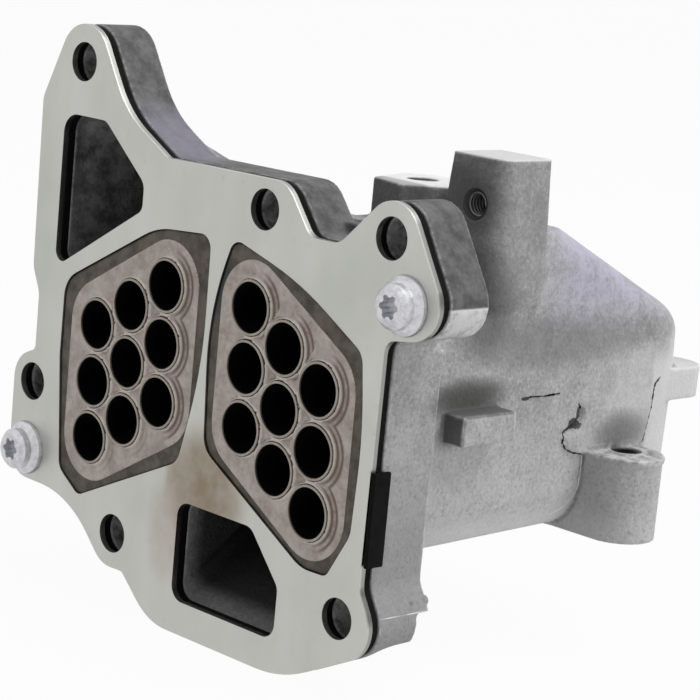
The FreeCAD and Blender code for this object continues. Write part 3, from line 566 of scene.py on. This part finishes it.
bright = Finish("screw_steel", 0.7, 0.42)
scuff = bright.noise(1.4, 4.0, 0.65)
bright.feed("Base Color", bright.blend(tone(196, 196, 202), tone(226, 226, 230), scuff.rise(0.3, 0.65)))
bright.feed("Roughness", 0.3 + scuff * 0.15)
bright.relief(scuff * 0.05)

core = Finish("core_steel", 0.6, 0.45)
core_cloud = core.noise(6.0, 4.0, 0.6)
core.feed("Base Color", core.blend(tone(96, 84, 76), tone(150, 138, 128), core_cloud))
core.relief(core_cloud * 0.05)

finishes = {
    "cast_alloy": cast,
    "plate_steel": plate,
    "gasket_rubber": rubber,
    "header_steel": pressed,
    "tube_steel": tube_finish,
    "screw_steel": bright,
    "core_steel": core,
    "crease": crease_shade_finish,
    "flash": flash_finish,
    "thread": thread_finish,
}
print("materials:", sorted(finishes))

# %% [markdown]
# ## Pieces made from the CAD
# A CAD node arrives as loose triangles, so a piece that takes its place starts as a welded copy.
# Bevel and Remesh then work on it, and the result is stored as a plain mesh.
# Nodes that look right as they are keep their CAD mesh and only get a material.


# %% Helpers for pieces
def welded(node):
    """A copy of a CAD node's mesh with its triangles joined."""
    mesh = nodes[node].data.copy()
    work = bmesh.new()
    work.from_mesh(mesh)
    bmesh.ops.remove_doubles(work, verts=work.verts, dist=0.003 * MM)
    bmesh.ops.recalc_face_normals(work, faces=work.faces)
    work.to_mesh(mesh)
    work.free()
    return mesh


def settle(thing):
    """Stores what the modifiers make as the object's own mesh."""
    bpy.context.view_layer.update()
    graph = bpy.context.evaluated_depsgraph_get()
    made = bpy.data.meshes.new_from_object(thing.evaluated_get(graph))
    thing.modifiers.clear()
    thing.data = made
    return made


def add_piece(name, mesh, slot):
    """A new object at the origin with the finish of a material slot."""
    mesh.name = name
    mesh.materials.clear()
    mesh.materials.append(finishes[slot].material)
    return placed(name, mesh)


def enrol(thing, slot, *stands_for):
    """Ties a finished piece to the body and hides the nodes that it stands for. The slot is not used."""
    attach(thing, "root")
    if stands_for:
        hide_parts(*stands_for)
    thing.data.calc_loop_triangles()
    print(thing.name, "triangles:", len(thing.data.loop_triangles))


def rebuild_skin(thing, cell_mm):
    """Makes the piece's skin anew from small cells and relaxes it, which rounds its corners."""
    skin = thing.modifiers.new("skin", "REMESH")
    skin.mode = "VOXEL"
    skin.voxel_size = cell_mm * MM
    relax = thing.modifiers.new("relax", "SMOOTH")
    relax.factor = 0.5
    relax.iterations = 2
    settle(thing)


def collapse(thing, most_triangles):
    """Merges triangles until about that many are left."""
    thing.data.calc_loop_triangles()
    before = len(thing.data.loop_triangles)
    thin = thing.modifiers.new("thin", "DECIMATE")
    thin.ratio = min(1.0, most_triangles / before)
    settle(thing)
    print(thing.name, "collapsed from", before)


def shade_by_angle(mesh, degrees):
    """Smooth shading that stops at edges sharper than the angle."""
    mesh.shade_smooth()
    mesh.set_sharp_from_angle(angle=math.radians(degrees))


def points_of(mesh):
    """The mesh's points as an array in millimetres."""
    flat = np.zeros(len(mesh.vertices) * 3)
    mesh.vertices.foreach_get("co", flat)
    return flat.reshape(-1, 3) / MM


def write_points(mesh, places):
    """Moves the mesh's points to an array of places in millimetres."""
    mesh.vertices.foreach_set("co", (places * MM).ravel())
    mesh.update()


def store(mesh, name, numbers):
    """Keeps one number for each point under a name that a material reads."""
    layer = mesh.attributes.new(name, "FLOAT", "POINT")
    layer.data.foreach_set("value", np.asarray(numbers, np.float32))


def smooth_step(values, start, end):
    share = np.clip((values - start) / (end - start), 0.0, 1.0)
    return share * share * (3.0 - 2.0 * share)


print("helpers ready")

# %% [markdown]
# ## Housing
# A casting has no sharp corner: sand or die rounds every edge and fills every inner corner.
# The CAD solid has crisp corners where the walls meet, so the scene rebuilds its skin from
# small cells, which rounds all of them at once, and then relaxes it.
# Flat areas need few triangles, so a collapse pass brings the count down.

# %% Rebuild the casting's skin
housing = add_piece("cast_housing", welded("housing"), "cast_alloy")
housing_cell = 0.45
rebuild_skin(housing, housing_cell)
print("points in the skin:", len(housing.data.vertices))

# %% [markdown]
# ## Marks of the casting tool
# On the right-hand wall an insert of the mould left a slightly raised pad above the lug, with a
# hooked notch at its left end. These are shallow, so they are pushed out of the skin itself.
# Each is drawn in the plane of the wall, by depth and height.


# %% Raise and sink the wall
def distance_to_path(where, path, closed):
    """Distance of each point from a path of straight runs, in the plane."""
    ends = path[1:] + path[:1] if closed else path[1:]
    best = np.full(len(where), 1e9)
    for first, second in zip(path, ends):
        start = np.array(first)
        run = np.array(second) - start
        along = np.clip(((where - start) @ run) / (run @ run), 0.0, 1.0)
        best = np.minimum(best, np.linalg.norm(where - start - along[:, None] * run, axis=1))
    return best


def is_inside(where, path):
    """True for each point inside a closed path in the plane."""
    inside = np.zeros(len(where), bool)
    for (y0, z0), (y1, z1) in zip(path, path[1:] + path[:1]):
        if z0 == z1:
            continue
        crosses = (z0 > where[:, 1]) != (z1 > where[:, 1])
        at = y0 + (where[:, 1] - z0) * (y1 - y0) / (z1 - z0)
        inside ^= crosses & (where[:, 0] < at)
    return inside


pad_outline = [
    (64.6, -14.0),
    (66.2, -20.4),
    (63.9, -22.9),
    (60.7, -23.9),
    (60.8, -26.6),
    (64.3, -28.8),
    (76.0, -30.5),
    (88.4, -29.5),
    (89.8, -22.2),
    (91.2, -14.0),
]
hook = [(66.0, -19.4), (65.9, -20.9), (63.6, -23.2), (61.2, -24.1)]
pad_height = 0.55
hook_depth = 1.1
points = points_of(housing.data)
on_wall = smooth_step(points[:, 0], 47.0, 49.0) * smooth_step(points[:, 1], 55.0, 58.0)
plane = points[:, 1:3]
edge = distance_to_path(plane, pad_outline, True)
edge = np.where(is_inside(plane, pad_outline), edge, -edge)
fade = smooth_step(-plane[:, 1], 15.0, 20.0)
lift = pad_height * smooth_step(edge, -0.35, 0.35) * fade
sink = hook_depth * smooth_step(-distance_to_path(plane, hook, False), -1.0, -0.2)
points[:, 0] += (lift - sink) * on_wall
write_points(housing.data, points)
print("pad lifted by", pad_height, "mm and hook sunk by", hook_depth, "mm")

# %% [markdown]
# ## Draft of the lower right lobe
# The underside of the flange rises towards the rear there, because the mould draws downwards.
# The points below the bolt hole move up in step with their depth.

# %% Slope the underside
draft_rise = 3.2
depth_share = smooth_step(points[:, 1], 3.7, 14.7)
below = smooth_step(-points[:, 2], 63.3, 66.5) * smooth_step(points[:, 0], 18.0, 44.0)
points[:, 2] += draft_rise * depth_share * below
write_points(housing.data, points)
print("underside rises by up to", draft_rise, "mm")

# %% [markdown]
# ## Soft joins
# The tall block and the lug grow out of the wall without a step, because the pattern was
# filleted by hand there. The skin in those places is relaxed again and again, and nowhere else.

# %% Relax the joins
line_ends = np.zeros(len(housing.data.edges) * 2, np.int64)
housing.data.edges.foreach_get("vertices", line_ends)
line_ends = line_ends.reshape(-1, 2)
neighbours = np.bincount(line_ends.ravel(), minlength=len(points))[:, None]
joins = [
    ((50.5, 34.0, 5.0), (6.0, 6.0, 6.0)),
    ((51.0, 42.0, 5.0), (4.0, 12.0, 6.0)),
    ((51.0, 49.0, 7.0), (5.0, 5.0, 12.0)),
]
relax_passes = 60
relax_share = 0.6
softness = np.zeros(len(points))
for middle, reach in joins:
    away = np.linalg.norm((points - np.array(middle)) / np.array(reach), axis=1)
    softness = np.maximum(softness, 1.0 - smooth_step(away, 0.6, 1.0))
line_ends = line_ends[(softness[line_ends] > 0.0).any(axis=1)]
for _ in range(relax_passes):
    total = np.zeros_like(points)
    np.add.at(total, line_ends[:, 0], points[line_ends[:, 1]])
    np.add.at(total, line_ends[:, 1], points[line_ends[:, 0]])
    points += (total / neighbours - points) * softness[:, None] * relax_share
print("points relaxed:", int((softness > 0.01).sum()))

# %% [markdown]
# ## Mouth of the thread in the block
# A tapped hole is countersunk, so that the first turn doesn't tear.
# The skin round the hole moves outwards, most at the front.

# %% Open the mouth
hole_across = points[:, [0, 2]] - np.array(BLOCK_THREAD_XZ)
hole_reach = np.linalg.norm(hole_across, axis=1)
block_face = 32.2
hole_depth = points[:, 1] - block_face
in_block = (hole_depth > -1.5) & (hole_depth < 13.0) & (hole_reach > 1.6) & (hole_reach < 6.0)
push = 0.15 + 0.75 * smooth_step(-hole_depth, -0.9, 0.0)
push = push * smooth_step(-hole_reach, -5.0, -2.7) * in_block
points[:, [0, 2]] += hole_across / np.maximum(hole_reach, 0.5)[:, None] * push[:, None]
write_points(housing.data, points)
print("points moved round the mouth:", int((push > 0.01).sum()))

# %% [markdown]
# ## Fewer triangles, and where the skin bends
# After the collapse each point gets three numbers. Two come from the angles between its faces:
# outward bends are rubbed bright and inward ones are darker. The third tells whether the point
# faces the hood's own middle line, so that the hood's inner colour stays inside it.

# %% Collapse and measure the bends
housing_triangles = 190000
collapse(housing, housing_triangles)


def bend_numbers(mesh, passes):
    """How far the surface bends outwards at each point, in radians per millimetre, smoothed."""
    work = bmesh.new()
    work.from_mesh(mesh)
    total = np.zeros(len(work.verts))
    area = np.zeros(len(work.verts))
    pairs = []
    for line in work.edges:
        first, second = line.verts[0].index, line.verts[1].index
        pairs.append((first, second))
        if len(line.link_faces) == 2:
            turned = line.calc_face_angle_signed(0.0) * line.calc_length() / MM
            spread = sum(face.calc_area() for face in line.link_faces) / MM / MM
            for place in (first, second):
                total[place] += turned
                area[place] += spread
    work.free()
    bend = total / np.maximum(area, 0.05)
    ends = np.array(pairs)
    for _ in range(passes):
        gathered = bend.copy()
        count = np.ones(len(bend))
        np.add.at(gathered, ends[:, 0], bend[ends[:, 1]])
        np.add.at(gathered, ends[:, 1], bend[ends[:, 0]])
        np.add.at(count, ends[:, 0], 1.0)
        np.add.at(count, ends[:, 1], 1.0)
        bend = gathered / count
    return bend


bend = bend_numbers(housing.data, 2)
store(housing.data, "wear", smooth_step(bend, 0.2, 0.7))
store(housing.data, "inward_dark", smooth_step(-bend, 0.1, 0.45))
skin_points = points_of(housing.data)
facing = np.zeros(len(skin_points) * 3)
housing.data.vertices.foreach_get("normal", facing)
facing = facing.reshape(-1, 3)
beyond_window = skin_points[:, 1] - 4.0
hood_x = -43.0 + beyond_window * 0.12
hood_z = 17.0 - beyond_window * 0.25
hood_axis = np.stack([hood_x, skin_points[:, 1], hood_z], axis=1)
store(housing.data, "inside", (facing * (hood_axis - skin_points)).sum(axis=1) > 0.0)
housing.data.shade_smooth()
print("bend from", round(float(bend.min()), 2), "to", round(float(bend.max()), 2))
enrol(housing, "cast_alloy", "housing")

# %% [markdown]
# ## Lines on the skin
# Flash and creases are fine beads laid on the skin by casting rays at it, so they can't float.


# %% Helpers for lines
tree = BVHTree.FromPolygons(
    [vertex.co for vertex in housing.data.vertices],
    [face.vertices for face in housing.data.polygons],
)


def laid(path, towards):
    """Points of a path in millimetres, moved along a direction until they meet the skin."""
    steps = 8
    found = []
    for first, second in zip(path, path[1:]):
        for step in range(steps):
            place = Vector(first).lerp(Vector(second), step / (steps - 1.0)) * MM
            hit = tree.ray_cast(place, Vector(towards))[0]
            if hit is not None and (not found or (hit - found[-1]).length < 4.0 * MM):
                found.append(hit)
    return found


def bead(paths, radius_mm, unevenness=0.0):
    """Fine round beads along the given points, as one mesh. Unevenness makes them thick and thin."""
    chance = np.random.default_rng(11)
    curve = bpy.data.curves.new("bead", "CURVE")
    curve.dimensions = "3D"
    curve.bevel_depth = radius_mm * MM
    curve.bevel_resolution = 1
    for path in paths:
        line = curve.splines.new("POLY")
        line.points.add(len(path) - 1)
        for point, place in zip(line.points, path):
            point.co = (*place, 1.0)
            point.radius = 1.0 + unevenness * float(chance.uniform(-1.0, 1.0))
    thing = placed("bead", curve)
    bpy.context.view_layer.update()
    graph = bpy.context.evaluated_depsgraph_get()
    mesh = bpy.data.meshes.new_from_object(thing.evaluated_get(graph))
    bpy.data.objects.remove(thing)
    return mesh


def from_right(*places):
    """A path on the right-hand side, given by depth and height."""
    return laid([(80.0, y, z) for y, z in places], (-1.0, 0.0, 0.0))

print("line helpers ready")

# %% [markdown]
# ## Flash lines
# Thin lines of flash show where the mould's halves met: at the flange's lower right corner and
# beside the lug.

# %% Flash lines
flash_paths = [
    [place - Vector((0.09, 0.0, 0.0)) * MM for place in from_right((4.2, -57.0), (17.6, -57.1))],
]
lug_seam = [(68.0, -29.8), (68.1, -33.2), (68.0, -36.9), (67.4, -39.3)]
lug_seam += [(66.3, -40.8), (64.5, -42.4), (62.0, -43.4)]
flash_paths.append(from_right(*lug_seam))
flash = add_piece("flash_lines", bead(flash_paths, 0.15, 0.3), "flash")
flash.data.shade_smooth()
enrol(flash, "cast_alloy")

# %% [markdown]
# ## Mould creases
# Creases outline the raised pad, and a short one lies behind the stop block. Their dark colour is painted
# shade in the crevices.

# %% Creases
crease_paths = [
    from_right((46.0, -15.3), (48.0, -14.8), (53.0, -15.0), (57.8, -14.8)),
    from_right((64.6, -17.6), (66.0, -19.4), (65.9, -20.9), (63.6, -23.1), (61.0, -24.0)),
    from_right((60.9, -24.0), (60.6, -26.2), (62.0, -27.8), (64.3, -28.7), (67.5, -29.4)),
    from_right((92.5, -13.8), (90.8, -15.2), (90.0, -18.5), (89.9, -22.2), (89.3, -26.0), (88.2, -28.6)),
]
creases = add_piece("crease_shade_beads", bead(crease_paths, 0.2, 0.6), "crease")
creases.data.shade_smooth()
enrol(creases, "cast_alloy")

# %% [markdown]
# ## Nub on the rim
# A small round nub stands at the flange's rear edge, near its lower right corner.

# %% Nub
nub_mesh = bpy.data.meshes.new("rim_nub")
work = bmesh.new()
nub_radius = 1.3
nub_place = Matrix.Translation(Vector((54.0, 17.9, -55.4)) * MM)
bmesh.ops.create_icosphere(work, subdivisions=3, radius=nub_radius * MM, matrix=nub_place)
work.to_mesh(nub_mesh)
work.free()
nub = add_piece("rim_nub", nub_mesh, "cast_alloy")
nub.data.shade_smooth()
enrol(nub, "cast_alloy")

# %% [markdown]
# ## Face plate and gasket
# Both are stamped from sheet, so their corners are only slightly broken.
# Flat triangles are merged into whole faces first, so that the bevel meets nothing but real edges.


# %% Bevel the stamped sheets
def stamped(name, node, slot, width_mm, segments):
    """A node's copy with whole flat faces and a small bevel on its real edges."""
    mesh = welded(node)
    work = bmesh.new()
    work.from_mesh(mesh)
    bmesh.ops.dissolve_limit(work, angle_limit=math.radians(1.0), verts=work.verts, edges=work.edges)
    work.to_mesh(mesh)
    work.free()
    thing = add_piece(name, mesh, slot)
    bevel = thing.modifiers.new("broken_edges", "BEVEL")
    bevel.width = width_mm * MM
    bevel.segments = segments
    bevel.limit_method = "ANGLE"
    bevel.angle_limit = math.radians(40.0)
    even = thing.modifiers.new("even_flats", "WEIGHTED_NORMAL")
    even.mode = "FACE_AREA"
    even.weight = 100
    shade_by_angle(thing.data, 180.0)
    settle(thing)
    enrol(thing, slot, node)


stamped("face_plate", "flange_plate", "plate_steel", width_mm=0.32, segments=3)
stamped("rubber_gasket", "gasket", "gasket_rubber", width_mm=0.35, segments=2)
stamped("bright_screws", "flange_screws", "screw_steel", width_mm=0.22, segments=2)

# %% [markdown]
# ## Rebuilt headers
# Each header is a pressed sheet that holds nine tubes, with a step down to the band at its edge.
# Pressing leaves soft steps, so its skin is rebuilt from fine cells as well.
# Four numbers are kept for each point: the distance to the nearest tube's axis, how far it lies
# to the right of that axis, whether that tube has none to its upper right, and whether the
# point lies in the band.


# %% Rebuild the headers
def tube_middles(side):
    """The middle of each tube's mouth on one side, in millimetres."""
    middles = []
    for name in sorted(nodes):
        if name.startswith("tube_" + side):
            low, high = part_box(name)
            middles.append(((low.x + high.x) / 2 / MM, low.y / MM, (low.z + high.z) / 2 / MM))
    return np.array(middles)


header_cell = 0.34
header_triangles = 110000
for side in ("left", "right"):
    node = side + "_header"
    header = add_piece(side + "_tube_header", welded(node), "header_steel")
    rebuild_skin(header, header_cell)
    collapse(header, header_triangles)
    points = points_of(header.data)
    middles = tube_middles(side)
    away = points[:, None, [0, 2]] - middles[None, :, [0, 2]]
    distances = np.linalg.norm(away, axis=2)
    nearest = distances.argmin(axis=1)
    rows = np.arange(len(points))
    store(header.data, "reach", distances[rows, nearest])
    store(header.data, "rightness", away[rows, nearest, 0] / np.maximum(distances[rows, nearest], 0.1))
    pitch = min(np.linalg.norm(middles[0] - other) for other in middles[1:])
    beyond = middles + pitch * np.array((math.cos(math.pi / 6), 0.0, math.sin(math.pi / 6)))
    gaps = np.linalg.norm(beyond[:, None, :] - middles[None, :, :], axis=2).min(axis=1)
    is_outer = (gaps > 0.3 * pitch).astype(float)
    store(header.data, "outer", is_outer[nearest])
    print(side, "tubes with nothing to their upper right:", int(is_outer.sum()))
    store(header.data, "band", smooth_step(points[:, 1], 0.12, 0.3))
    header.data.shade_smooth()
    enrol(header, "header_steel", node)

# %% [markdown]
# ## Braze rings and threads
# Eighteen identical rings and two helical threads are rule shapes, so Geometry Nodes makes them.
# A ring is a fine bead of braze round a tube's end, and one ring is instanced at every mouth.
# A thread is a spiral swept by a small profile down its hole.


# %% Trees for rings and threads
def new_tree(name, inputs):
    """A geometry tree with named inputs. Returns the tree and each input's identifier."""
    made = bpy.data.node_groups.new(name, "GeometryNodeTree")
    made.interface.new_socket("Geometry", in_out="INPUT", socket_type="NodeSocketGeometry")
    names = {}
    for title, kind in inputs:
        names[title] = made.interface.new_socket(title, in_out="INPUT", socket_type=kind).identifier
    made.interface.new_socket("Geometry", in_out="OUTPUT", socket_type="NodeSocketGeometry")
    return made, names


def wire(tree, *links):
    """Each link is a node, its output's name, the next node and its input's name."""
    for source, output, target, entry in links:
        tree.links.new(source.outputs[output], target.inputs[entry])


ring_tree, ring_inputs = new_tree(
    "braze_rings",
    [
        ("Ring Radius", "NodeSocketFloat"),
        ("Bead Radius", "NodeSocketFloat"),
        ("Finish", "NodeSocketMaterial"),
    ],
)
start = ring_tree.nodes.new("NodeGroupInput")
circle = ring_tree.nodes.new("GeometryNodeCurvePrimitiveCircle")
circle.inputs["Resolution"].default_value = 56
profile = ring_tree.nodes.new("GeometryNodeCurvePrimitiveCircle")
profile.inputs["Resolution"].default_value = 10
sweep = ring_tree.nodes.new("GeometryNodeCurveToMesh")
scatter = ring_tree.nodes.new("GeometryNodeInstanceOnPoints")
scatter.inputs["Rotation"].default_value = (math.radians(90.0), 0.0, 0.0)
real = ring_tree.nodes.new("GeometryNodeRealizeInstances")
paint = ring_tree.nodes.new("GeometryNodeSetMaterial")
end = ring_tree.nodes.new("NodeGroupOutput")
wire(
    ring_tree,
    (start, "Ring Radius", circle, "Radius"),
    (start, "Bead Radius", profile, "Radius"),
    (circle, "Curve", sweep, "Curve"),
    (profile, "Curve", sweep, "Profile Curve"),
    (start, "Geometry", scatter, "Points"),
    (sweep, "Mesh", scatter, "Instance"),
    (scatter, "Instances", real, "Geometry"),
    (real, "Geometry", paint, "Geometry"),
    (start, "Finish", paint, "Material"),
    (paint, "Geometry", end, "Geometry"),
)

thread_tree, thread_inputs = new_tree(
    "helical_thread",
    [
        ("Turns", "NodeSocketFloat"),
        ("Length", "NodeSocketFloat"),
        ("Core Radius", "NodeSocketFloat"),
        ("Ridge Radius", "NodeSocketFloat"),
        ("Mouth", "NodeSocketVector"),
        ("Turned", "NodeSocketVector"),
        ("Finish", "NodeSocketMaterial"),
    ],
)
start = thread_tree.nodes.new("NodeGroupInput")
spiral = thread_tree.nodes.new("GeometryNodeCurveSpiral")
spiral.inputs["Resolution"].default_value = 30
profile = thread_tree.nodes.new("GeometryNodeCurvePrimitiveCircle")
profile.inputs["Resolution"].default_value = 6
sweep = thread_tree.nodes.new("GeometryNodeCurveToMesh")
sweep.inputs["Fill Caps"].default_value = True
place = thread_tree.nodes.new("GeometryNodeTransform")
paint = thread_tree.nodes.new("GeometryNodeSetMaterial")
end = thread_tree.nodes.new("NodeGroupOutput")
wire(
    thread_tree,
    (start, "Turns", spiral, "Rotations"),
    (start, "Length", spiral, "Height"),
    (start, "Core Radius", spiral, "Start Radius"),
    (start, "Core Radius", spiral, "End Radius"),
    (start, "Ridge Radius", profile, "Radius"),
    (spiral, "Curve", sweep, "Curve"),
    (profile, "Curve", sweep, "Profile Curve"),
    (sweep, "Mesh", place, "Geometry"),
    (start, "Mouth", place, "Translation"),
    (start, "Turned", place, "Rotation"),
    (place, "Geometry", paint, "Geometry"),
    (start, "Finish", paint, "Material"),
    (paint, "Geometry", end, "Geometry"),
)


def grown(name, tree, names, base_points, slot, **values):
    """An object whose mesh a geometry tree makes from base points and named inputs."""
    mesh = bpy.data.meshes.new(name)
    mesh.from_pydata([tuple(point) for point in base_points], [], [])
    thing = placed(name, mesh)
    maker = thing.modifiers.new("maker", "NODES")
    maker.node_group = tree
    for title, value in values.items():
        maker[names[title.replace("_", " ")]] = value
    maker[names["Finish"]] = finishes[slot].material
    made = settle(thing)
    made.shade_smooth()
    work = bmesh.new()
    work.from_mesh(made)
    bmesh.ops.recalc_face_normals(work, faces=work.faces)
    work.to_mesh(made)
    work.free()
    return thing


mouths = np.vstack([tube_middles("left"), tube_middles("right")])
mouths[:, 1] = 0.0
rings_piece = grown(
    "braze_rings",
    ring_tree,
    ring_inputs,
    mouths * MM,
    "header_steel",
    Ring_Radius=6.25 * MM,
    Bead_Radius=0.34 * MM,
)
enrol(rings_piece, "header_steel")

first_turn = 33.2
block_mouth = Vector((BLOCK_THREAD_XZ[0], first_turn, BLOCK_THREAD_XZ[1])) * MM
block_thread = grown(
    "block_thread",
    thread_tree,
    thread_inputs,
    [],
    "thread",
    Turns=11.0,
    Length=10.5 * MM,
    Core_Radius=2.55 * MM,
    Ridge_Radius=0.32 * MM,
    Mouth=tuple(block_mouth),
    Turned=(math.radians(-90.0), 0.0, 0.0),
)
enrol(block_thread, "cast_alloy")
boss_bottom = 17.6
boss_thread = grown(
    "boss_thread",
    thread_tree,
    thread_inputs,
    [],
    "thread",
    Turns=8.0,
    Length=9.6 * MM,
    Core_Radius=3.45 * MM,
    Ridge_Radius=0.4 * MM,
    Mouth=(BOSS_THREAD_XY[0] * MM, BOSS_THREAD_XY[1] * MM, boss_bottom * MM),
    Turned=(0.0, 0.0, 0.0),
)
enrol(boss_thread, "cast_alloy")

# %% [markdown]
# ## Nodes that keep their CAD mesh
# The tubes, the rear header and the return cap are plain sheet shapes deep inside.
# They only need their finish.

# %% Paint the remaining nodes
painted = 0
for name, thing in nodes.items():
    if thing.hide_render:
        continue
    slot = "tube_steel" if name.startswith("tube_") else "core_steel"
    if not thing.data.materials:
        thing.data.materials.append(None)
    for place in range(len(thing.data.materials)):
        thing.data.materials[place] = finishes[slot].material
    painted += 1
print("CAD nodes painted:", painted)

# %% [markdown]
# ## Light, floor and background
# The picture was taken on white: the background is white to the camera and in reflections.
# Of three large soft lamps the one above is the strongest, the one at the right lights the wall,
# and the one at the front left is faint. Each is set by the level that it adds on a facing surface.


# %% Lamps
def softbox(name, direction, distance, width, level):
    """A square lamp at a distance from the part, whose light adds level on a facing surface."""
    middle = (cad_low + cad_high) / 2
    data = bpy.data.lights.new(name, "AREA")
    data.shape = "SQUARE"
    data.size = width
    data.energy = level * math.pi**2 * distance**2
    lamp = placed(name, data)
    away = Vector(direction).normalized()
    lamp.location = middle + away * distance
    lamp.rotation_mode = "QUATERNION"
    lamp.rotation_quaternion = away.to_track_quat("Z", "Y")


softbox("front_left", (-0.6, -0.8, 0.5), distance=1.3, width=0.9, level=0.04)
softbox("right", (1.0, 0.35, 0.1), distance=1.3, width=0.9, level=0.5)
softbox("above", (0.3, 0.2, 0.93), distance=1.3, width=1.0, level=0.8)
print("lamps ready")

# %% [markdown]
# ## Background
# It is white where a camera, glossy or transmission ray meets it, and gives a low even light.

# %% Background
world = bpy.data.worlds.new("world")
scene.world = world
world.use_nodes = True
sky = world.node_tree
backdrop = sky.nodes["Background"]
backdrop.inputs["Color"].default_value = (1.0, 1.0, 1.0, 1.0)
rays = sky.nodes.new("ShaderNodeLightPath")
seen = Value(sky, rays.outputs["Is Camera Ray"])
for kind in ("Is Glossy Ray", "Is Transmission Ray"):
    seen = seen.most(Value(sky, rays.outputs[kind]))
strength = sky.nodes.new("ShaderNodeMapRange")
strength.inputs["To Min"].default_value = 0.14
strength.inputs["To Max"].default_value = 1.0
sky.links.new(seen.socket, strength.inputs["Value"])
sky.links.new(strength.outputs["Result"], backdrop.inputs["Strength"])
print("background ready")

# %% [markdown]
# ## Floor
# It lies under the part and is nearly as white as the background to the camera.

# %% Floor
floor_mesh = bpy.data.meshes.new("floor")
reach_of_floor = 6.0
signs = ((-1, -1), (1, -1), (1, 1), (-1, 1))
floor_corners = [(a * reach_of_floor, b * reach_of_floor, cad_low.z) for a, b in signs]
floor_mesh.from_pydata(floor_corners, [], [(0, 1, 2, 3)])
floor = placed("floor", floor_mesh)
floor_material = bpy.data.materials.new("floor_white")
floor_material.use_nodes = True
floor_tree = floor_material.node_tree
floor_shader = floor_tree.nodes["Principled BSDF"]
floor_shader.inputs["Base Color"].default_value = (0.6, 0.6, 0.6, 1.0)
floor_shader.inputs["Roughness"].default_value = 0.9
glow = floor_tree.nodes.new("ShaderNodeEmission")
glow.inputs["Strength"].default_value = 1.0
floor_mix = floor_tree.nodes.new("ShaderNodeMixShader")
floor_rays = floor_tree.nodes.new("ShaderNodeLightPath")
floor_seen = Value(floor_tree, floor_rays.outputs["Is Camera Ray"])
floor_seen = floor_seen.most(Value(floor_tree, floor_rays.outputs["Is Glossy Ray"]))
floor_tree.links.new((floor_seen * 0.96).socket, floor_mix.inputs[0])
floor_tree.links.new(floor_shader.outputs[0], floor_mix.inputs[1])
floor_tree.links.new(glow.outputs[0], floor_mix.inputs[2])
floor_tree.links.new(floor_mix.outputs[0], floor_tree.nodes["Material Output"].inputs["Surface"])
floor_mesh.materials.append(floor_material)
print("floor ready")

# %% [markdown]
# ## Grey card
# A dark card at the back right darkens what the upward-facing right flanks reflect.

# %% Grey card
card_mesh = bpy.data.meshes.new("grey_card")
card_direction = Vector((0.68, 0.7, 0.2)).normalized()
across = Vector((0.7, -0.68, 0.0)).normalized()
upward = across.cross(card_direction) * -1.0
card_middle = (cad_low + cad_high) / 2 + card_direction * 0.9
card_corners = [card_middle + across * 0.75 * a + upward * 0.28 * b for a, b in signs]
card_mesh.from_pydata([tuple(corner) for corner in card_corners], [], [(0, 1, 2, 3)])
card = placed("grey_card", card_mesh)
card_material = bpy.data.materials.new("card_grey")
card_material.use_nodes = True
card_material.node_tree.nodes["Principled BSDF"].inputs["Base Color"].default_value = (0.05, 0.05, 0.05, 1.0)
card_mesh.materials.append(card_material)
card.visible_camera = False
card.visible_diffuse = False
card.visible_shadow = False
scene.view_settings.view_transform = "Standard"
print("stage ready")
